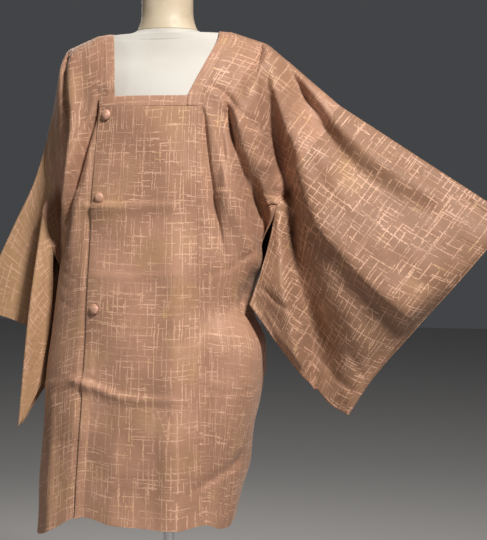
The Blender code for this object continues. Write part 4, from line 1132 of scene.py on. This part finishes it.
def leftSleevePoint(s, t, face):
    # s runs from the armhole to the cuff, t from the top fold to the foot
    arm = leftArm

    def inner(place):
        sewn = armhole(arm, np.minimum(1.0, place / coat["armhole"]), face, False)
        rows = leftFuri if face > 0 else leftFuriBack
        free = tableAt(rows, (place - coat["armhole"]) / (1 - coat["armhole"]))
        return np.where((place <= coat["armhole"])[:, None], sewn, free)

    def cuff(place):
        front, back = tableAt(leftCuff, place), tableAt(leftCuffBack, place)
        return front if face > 0 else np.where((place > coat["wrist"])[:, None], front, back)

    def top(place):
        return lerp(shoulderFold(arm, np.ones(1)), cuff(np.zeros(1)), place)

    def foot(place):
        start = inner(np.ones(1)) - np.array(leftFoot[0][1:])
        return tableAt(leftFoot, place) + start * ((1 - place) ** 3)[:, None]

    none, full = np.zeros(1), np.ones(1)
    ruled = lerp(top(s), foot(s), t) + lerp(inner(t), cuff(t), s)
    place = ruled - lerp(lerp(inner(none), cuff(none), s), lerp(inner(full), cuff(full), s), t)
    belly = ridge["belly"] * np.sin(math.pi * t) ** 0.8
    belly = belly * np.sin(math.pi * np.minimum(1.0, s * 1.02)) ** 0.8
    if face > 0:
        # a long ridge across the middle of the sleeve, from which its lower half falls back
        rising, falling = t / ridge["at"], (1 - t) / (1 - ridge["at"])
        sharp = ridge["sharp"]
        roof = -np.log(np.exp(-sharp * rising) + np.exp(-sharp * falling)) / sharp
        across = np.clip(np.sin(math.pi * np.minimum(1.0, s * 1.01)), 0.0, 1.0) ** 0.55
        belly = mix(belly, ridge["high"] * np.maximum(roof, 0.0) * across, smoothStep(s / 0.25))
    nearestFold = coat["sleeveDepth"] * np.minimum(t, 1 - t)
    sewnCuff = np.where(t > coat["wrist"], coat["sleeveLength"] * (1 - s), 1.0)
    nearestFold = np.minimum(nearestFold, sewnCuff)
    place[:, 1] -= face * (belly + foldRound(nearestFold) * smoothStep(s / 0.15))
    atSeam = smoothStep((1 - t / coat["armhole"]) / coat["seamFade"])
    further = (1.0 - 0.4 * smoothStep((t - 0.7) / 0.3)) * smoothStep((1 - s) / 0.1) * smoothStep(t / 0.08)
    x, z = place[:, 0].copy(), place[:, 2].copy()
    place[:, 1] -= fanDepth(arm, x, z) * mix(atSeam, further, smoothStep(s / coat["seamFade"]))
    own = foldDepth(leftSleeveFolds if face > 0 else leftSleeveBackFolds, x, z)
    own = own + waveDepth(sleeveWaves, x, z)
    place[:, 1] -= face * own * betweenEnds(s, 0.05, 0.08) * betweenEnds(t, 0.05, 0.06)
    return leanOver(place) if face > 0 else place


def leftSleeve(name, look):
    # A tube of cloth, folded at the top, sewn at the foot and on the lower half of the cuff
    away = np.array(Vector(leftArm["arm"]).normalized()) * cloth["seam"]
    turn = cloth["foldRows"] / coat["sleeveDepth"]
    rows = np.concatenate(((0.0,), turn, np.linspace(0.014, 0.986, 100), 1 - turn[::-1], (1.0,)))
    around = np.concatenate((rows, 2.0 - rows[-2::-1]))
    edge = cloth["foldRows"][:4] / coat["sleeveLength"]
    columns = np.concatenate((np.linspace(0.0, 0.988, 76), 1 - edge[::-1], (1.0,)))

    def place(across, along):
        laid = np.empty((len(across), 3))
        ahead = along <= 1.0
        laid[ahead] = leftSleevePoint(across[ahead], along[ahead], 1)
        laid[~ahead] = leftSleevePoint(across[~ahead], 2.0 - along[~ahead], -1)
        return laid + away

    obj = clothSheet(name, place, columns, around, look, rolled=("inner",), closed=True)
    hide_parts(name)


leftSleeve("sleeve_left", silkSleeveLeft)


def rightSleeve(name, look):
    # A length of cloth folded over the lowered arm and pleated; its layers close at the foot
    away = np.array((-cloth["seam"], 0.0, -cloth["seam"]))
    turn = cloth["foldRows"] / coat["pleatDepth"]
    down = np.concatenate(((0.0,), turn, np.linspace(0.026, 1.0, 84)))
    around = np.concatenate((-down[:0:-1], down))

    def place(across, along):
        laid = byFace(across, along, lambda a, b: rightLayer(b, a, 1), lambda a, b: rightLayer(b, a, -1))
        return laid + away

    def turnedLobe(flat, across, along):
        # the lobe that hangs over in front shows its cloth on the bias
        lobe = (along < -0.5)[:, None]
        bias = np.array(((0.72, 0.69), (-0.69, 0.72)))
        turned = flat @ bias
        return np.where(lobe[..., None], turned, flat)

    obj = clothSheet(name, place, shares((1.0, 76)), around, look, laidOut=turnedLobe)
    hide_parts(name)


rightSleeve("sleeve_right", silkSleeveRight)
print("sleeves")

# Covered buttons

button = {"radius": 0.009, "thick": 0.0066, "heights": (1.226, 1.084, 0.892), "fromEdge": 0.0165,
          "reach": 0.006}


def buttonLook():
    look, tree, shader = newLook("silkButton")
    here = objectPlace(tree)
    crepe = noise(tree, here, 1500.0, 2.0, 0.6)
    tone = noise(tree, here, 160.0, 2.0)
    colour = blendColour(tree, ramp(tree, tone, 0.4, 0.65), silk["ground"], silk["roseAndPaintedSheen"])
    colour = blendColour(tree, ramp(tree, crepe, 0.45, 0.75, 0.0, 0.35), colour, silk["line"])
    finishLook(tree, shader, colour, ramp(tree, crepe, 0.3, 0.8, 0.52, 0.4), 0.5, 0.0003, crepe, sheen)
    return look


silkButton = buttonLook()


def coveredButton(name, height):
    # A domed disc with a rolled rim, lying on the upper front
    x = lapEdge(height)[0] + button["fromEdge"]
    here = Vector(chest(x, height, 1)[0])
    reach = button["reach"]
    across = Vector(chest(x + reach, height, 1)[0] - chest(x - reach, height, 1)[0])
    down = Vector(chest(x, height - reach, 1)[0] - chest(x, height + reach, 1)[0])
    out = across.cross(-down).normalized()
    if out.y > 0:
        out = -out
    profile = ((0.0, 0.0), (0.62, 0.0), (0.9, 0.08), (0.98, 0.18), (1.0, 0.28), (0.98, 0.4), (0.92, 0.53),
               (0.82, 0.67), (0.68, 0.8), (0.5, 0.9), (0.28, 0.97), (0.0, 1.0))
    disc = spun([(a * button["radius"], b * button["thick"]) for a, b in profile], 56)
    turn = Vector((0, 0, 1)).rotation_difference(out).to_matrix().to_4x4()
    bmesh.ops.transform(disc, matrix=turn, verts=disc.verts)
    bmesh.ops.translate(disc, vec=here + out * (cloth["wall"] / 2 + 1.3 * cloth["seam"]), verts=disc.verts)
    obj = addPiece(name, meshOf(name, disc), silkButton)
    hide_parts(name)


for number, height in enumerate(button["heights"], 1):
    coveredButton(f"button_{number}", height)
print("buttons")

# The dress form

form = {"segments": 96, "foot": 0.72, "rest": 0.001, "neckTop": 1.452, "neckMiddle": 0.005}
# Level rings: height, half width, front, back, squareness
formRings = (
    (0.72, 0.14, 0.084, 0.082, 2.2), (0.73, 0.148, 0.09, 0.088, 2.2), (0.8, 0.15, 0.096, 0.092, 2.2),
    (0.88, 0.134, 0.09, 0.082, 2.1), (0.96, 0.112, 0.082, 0.066, 2.1), (1.02, 0.111, 0.086, 0.066, 2.1),
    (1.09, 0.13, 0.104, 0.078, 2.1), (1.15, 0.146, 0.114, 0.092, 2.1), (1.21, 0.151, 0.106, 0.094, 2.1),
    (1.26, 0.156, 0.094, 0.088, 2.1), (1.3, 0.161, 0.078, 0.076, 2.1), (1.328, 0.163, 0.06, 0.062, 2.1),
)
# The shoulder's slope and the flare to the neck: half width, front, back, height above the shoulder
formShoulder = (
    (0.16, 0.05, 0.044, 0.0), (0.15, 0.049, 0.04, 0.0), (0.132, 0.048, 0.04, 0.0),
    (0.11, 0.0475, 0.042, 0.0), (0.088, 0.047, 0.046, 0.0),
)
formNeck = ((0.066, 0.0465, 0.052, 0.0035), (0.055, 0.046, 0.056, 0.0075))
neckRings = (
    (0.0545, 0.0455, 0.0555, 0.0004), (0.0495, 0.044, 0.054, 0.012), (0.046, 0.042, 0.052, 0.03),
)


def formRidge(x):
    return float(ridgeHeight(x)) - cloth["wall"] / 2 - form["rest"]


def loft(name, rings, look, nodes):
    # A closed piece through level rings: half width, front, back, squareness, height
    rings = np.array(rings, float)
    steps = 5 if len(rings) > 6 else 8
    stations = np.arange(len(rings))
    fine = np.linspace(0, len(rings) - 1, (len(rings) - 1) * steps + 1)
    smooth = tableAt(np.column_stack((stations, rings)), fine)
    piece = bmesh.new()
    bmesh.ops.create_grid(piece, x_segments=form["segments"], y_segments=len(smooth) - 1, size=0.5)
    for vert in piece.verts:
        half, front, back, square, height = smooth[round((vert.co.y + 0.5) * (len(smooth) - 1))]
        turn = math.tau * (vert.co.x + 0.5)
        side, ahead = math.sin(turn), math.cos(turn)
        vert.co.x = half * math.copysign(abs(side) ** (2 / square), side)
        vert.co.y = (-front if ahead > 0 else back) * abs(ahead) ** (2 / square)
        vert.co.z = height
    bmesh.ops.remove_doubles(piece, verts=piece.verts, dist=cloth["merge"])
    bmesh.ops.holes_fill(piece, edges=piece.edges, sides=0)
    bmesh.ops.recalc_face_normals(piece, faces=piece.faces)
    obj = addPiece(name, meshOf(name, piece), look)
    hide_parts(*nodes)


canvas = {
    "colour": (0.56, 0.54, 0.5, 1.0),
    "warm": (0.52, 0.495, 0.445, 1.0),
    "slub": (0.62, 0.58, 0.5, 1.0),
    "thread": 125.0,
}


def canvasLook():
    # White plain-weave cover, tight over a hard shell
    look, tree, shader = newLook("formCanvas")
    here = objectPlace(tree)
    threads = [
        add(tree, "ShaderNodeTexWave", {"Vector": here, "Scale": canvas["thread"], "Distortion": 0.6,
                                        "Detail": 1.0}, bands_direction=way).outputs[1]
        for way in ("X", "Z")
    ]
    weave = calc(tree, "MAXIMUM", *threads)
    tone = noise(tree, here, 9.0, 3.0)
    slub = noise(tree, here, 210.0, 2.0)
    colour = blendColour(tree, ramp(tree, tone, 0.4, 0.7), canvas["colour"], canvas["warm"])
    colour = blendColour(tree, ramp(tree, slub, 0.6, 0.78, 0.0, 0.25), colour, canvas["slub"])
    finishLook(tree, shader, colour, ramp(tree, weave, 0.0, 1.0, 0.88, 0.78), 0.3, 0.0002,
               calc(tree, "MULTIPLY_ADD", slub, 0.8, weave))
    return look


cream = {"colour": (0.56, 0.47, 0.34, 1.0), "worn": (0.5, 0.4, 0.28, 1.0)}


def creamLook():
    # Smooth cream skin of the neck and its cap, with faint rubbing
    look, tree, shader = newLook("formCream")
    here = objectPlace(tree)
    tone = noise(tree, here, 16.0, 4.0, 0.6)
    rub = noise(tree, here, 90.0, 3.0)
    colour = blendColour(tree, ramp(tree, tone, 0.38, 0.68), cream["colour"], cream["worn"])
    finishLook(tree, shader, colour, ramp(tree, rub, 0.3, 0.7, 0.42, 0.6), 0.15, 0.0003, rub)
    return look


chrome = {"colour": (0.72, 0.73, 0.75, 1.0), "hairs": (400.0, 400.0, 30.0)}


def chromeLook():
    # Polished chrome with hairline wear
    look, tree, shader = newLook("standChrome")
    here = objectPlace(tree)
    hair = noise(tree, moved(tree, here, Scale=chrome["hairs"]), 1.0, 2.0)
    smear = ramp(tree, noise(tree, here, 12.0, 3.0), 0.35, 0.7, 0.1, 0.22)
    finishLook(tree, shader, chrome["colour"], calc(tree, "MULTIPLY_ADD", hair, 0.06, smear), 0.04, 0.0001,
               hair, {"Metallic": 1.0})
    return look


formCanvas, formCream, standChrome = canvasLook(), creamLook(), chromeLook()

neckFoot = formRidge(formShoulder[-1][0])
torsoRings = [(half, front, back, square, height) for height, half, front, back, square in formRings]
torsoRings += [(half, front, back, 2.0, formRidge(half)) for half, front, back, _ in formShoulder]
torsoRings += [(half, front, back, 2.0, neckFoot + lift) for half, front, back, lift in formNeck]
loft("form_torso", torsoRings, formCanvas, ["form_torso"])
neckStart = neckFoot + formNeck[-1][3]
rings = [(half, front, back, 2.0, neckStart + lift) for half, front, back, lift in neckRings]
rings.append((0.046, 0.0415, 0.0515, 2.0, form["neckTop"]))
loft("form_neck", rings, formCream, ["form_neck"])


def turned(name, profile, middle, steps, look, nodes, slot):
    piece = spun(profile, steps)
    bmesh.ops.translate(piece, vec=middle, verts=piece.verts)
    obj = addPiece(name, meshOf(name, piece), look)
    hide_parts(*nodes)
    softEdge(obj, 0.0008, 3, 30)


stand = {"pole": 0.0097, "base": 0.18, "baseThick": 0.014}

capLine = (
    (0.0, 0.01), (0.026, 0.01), (0.033, 0.009), (0.038, 0.007), (0.04, 0.004), (0.04, 0.0), (0.0, 0.0),
)
turned("form_cap", capLine, (0.0, form["neckMiddle"], form["neckTop"] + cloth["seam"]), 72, formCream,
       ["form_cap"], "form_cream")
poleTop, poleFoot = form["foot"] - cloth["seam"], stand["baseThick"] + cloth["seam"]
poleLine = ((0.0, poleTop), (stand["pole"], poleTop), (stand["pole"], poleFoot), (0.0, poleFoot))
turned("stand_pole", poleLine, (0.0, 0.0, 0.0), 48, standChrome, ["stand_pole"], "chrome")
radius, thick = stand["base"], stand["baseThick"]
baseLine = (
    (0.0, thick), (radius - 0.01, thick), (radius - 0.005, thick - 0.001), (radius - 0.002, thick - 0.004),
    (radius, thick - 0.008), (radius, 0.0), (0.0, 0.0),
)
turned("stand_base", baseLine, (0.0, 0.0, 0.0), 128, standChrome, ["stand_base"], "chrome")
print("dress form and stand")

# Camera, floor and light

view = {"place": (0.67762, -2.30235, 1.08), "ahead": (-0.22732865, 0.97240508, -0.05244087), "lens": 88.867}


def aim(obj, place, ahead):
    turn = Vector(ahead).to_track_quat("-Z", "Y").to_matrix().to_4x4()
    obj.matrix_world = Matrix.Translation(place) @ turn


camera = addObject("camera", bpy.data.cameras.new("camera"))
camera.data.sensor_width = 36.0
camera.data.lens = view["lens"]
aim(camera, view["place"], view["ahead"])
bpy.context.scene.camera = camera
bpy.context.scene.view_settings.view_transform = "Standard"

studio = {
    "floor": (0.5, 0.49, 0.48, 1.0),
    "floorWorn": (0.48, 0.47, 0.46, 1.0),
    "sky": (0.9, 0.93, 1.0, 1.0),
    "world": 0.062,
    "spread": 100,
    # name, place, aimed at, size, power, colour
    "lights": (
        ("key", (2.05, -2.45, 3.7), (0.1, 0.0, 0.9), 0.52, 76.0, (1.0, 0.97, 0.93)),
        ("fill", (-2.3, -3.0, 1.2), (0.0, 0.0, 0.8), 1.4, 5.0, (1.0, 0.95, 0.9)),
        ("rim", (-1.6, 2.6, 2.6), (0.0, 0.0, 1.0), 1.8, 10.0, (1.0, 0.97, 0.94)),
    ),
}


def plainFloor():
    sweep = bmesh.new()
    bmesh.ops.create_grid(sweep, x_segments=1, y_segments=1, size=9.0)
    mesh = meshOf("floor", sweep)
    obj = addObject("floor", mesh)
    look, tree, shader = newLook("floorPaint")
    patchy = noise(tree, objectPlace(tree), 1.5, 2.0)
    colour = blendColour(tree, patchy, studio["floor"], studio["floorWorn"])
    feed(tree, shader, {"Base Color": colour, "Roughness": 0.9})
    mesh.materials.append(look)
    obj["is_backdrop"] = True


plainFloor()
world = bpy.data.worlds.new("studio")
bpy.context.scene.world = world
world.use_nodes = True
feed(world.node_tree, world.node_tree.nodes["Background"],
     {"Color": studio["sky"], "Strength": studio["world"]})
for name, place, target, size, power, colour in studio["lights"]:
    lamp = bpy.data.lights.new(name, "AREA")
    lamp.size = size
    lamp.spread = math.radians(studio["spread"])
    lamp.energy = power
    lamp.color = colour
    aim(addObject(name, lamp), place, Vector(target) - Vector(place))
print("camera, floor and light")

[[list(corner) for corner in box] for box in (cadBox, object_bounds())]
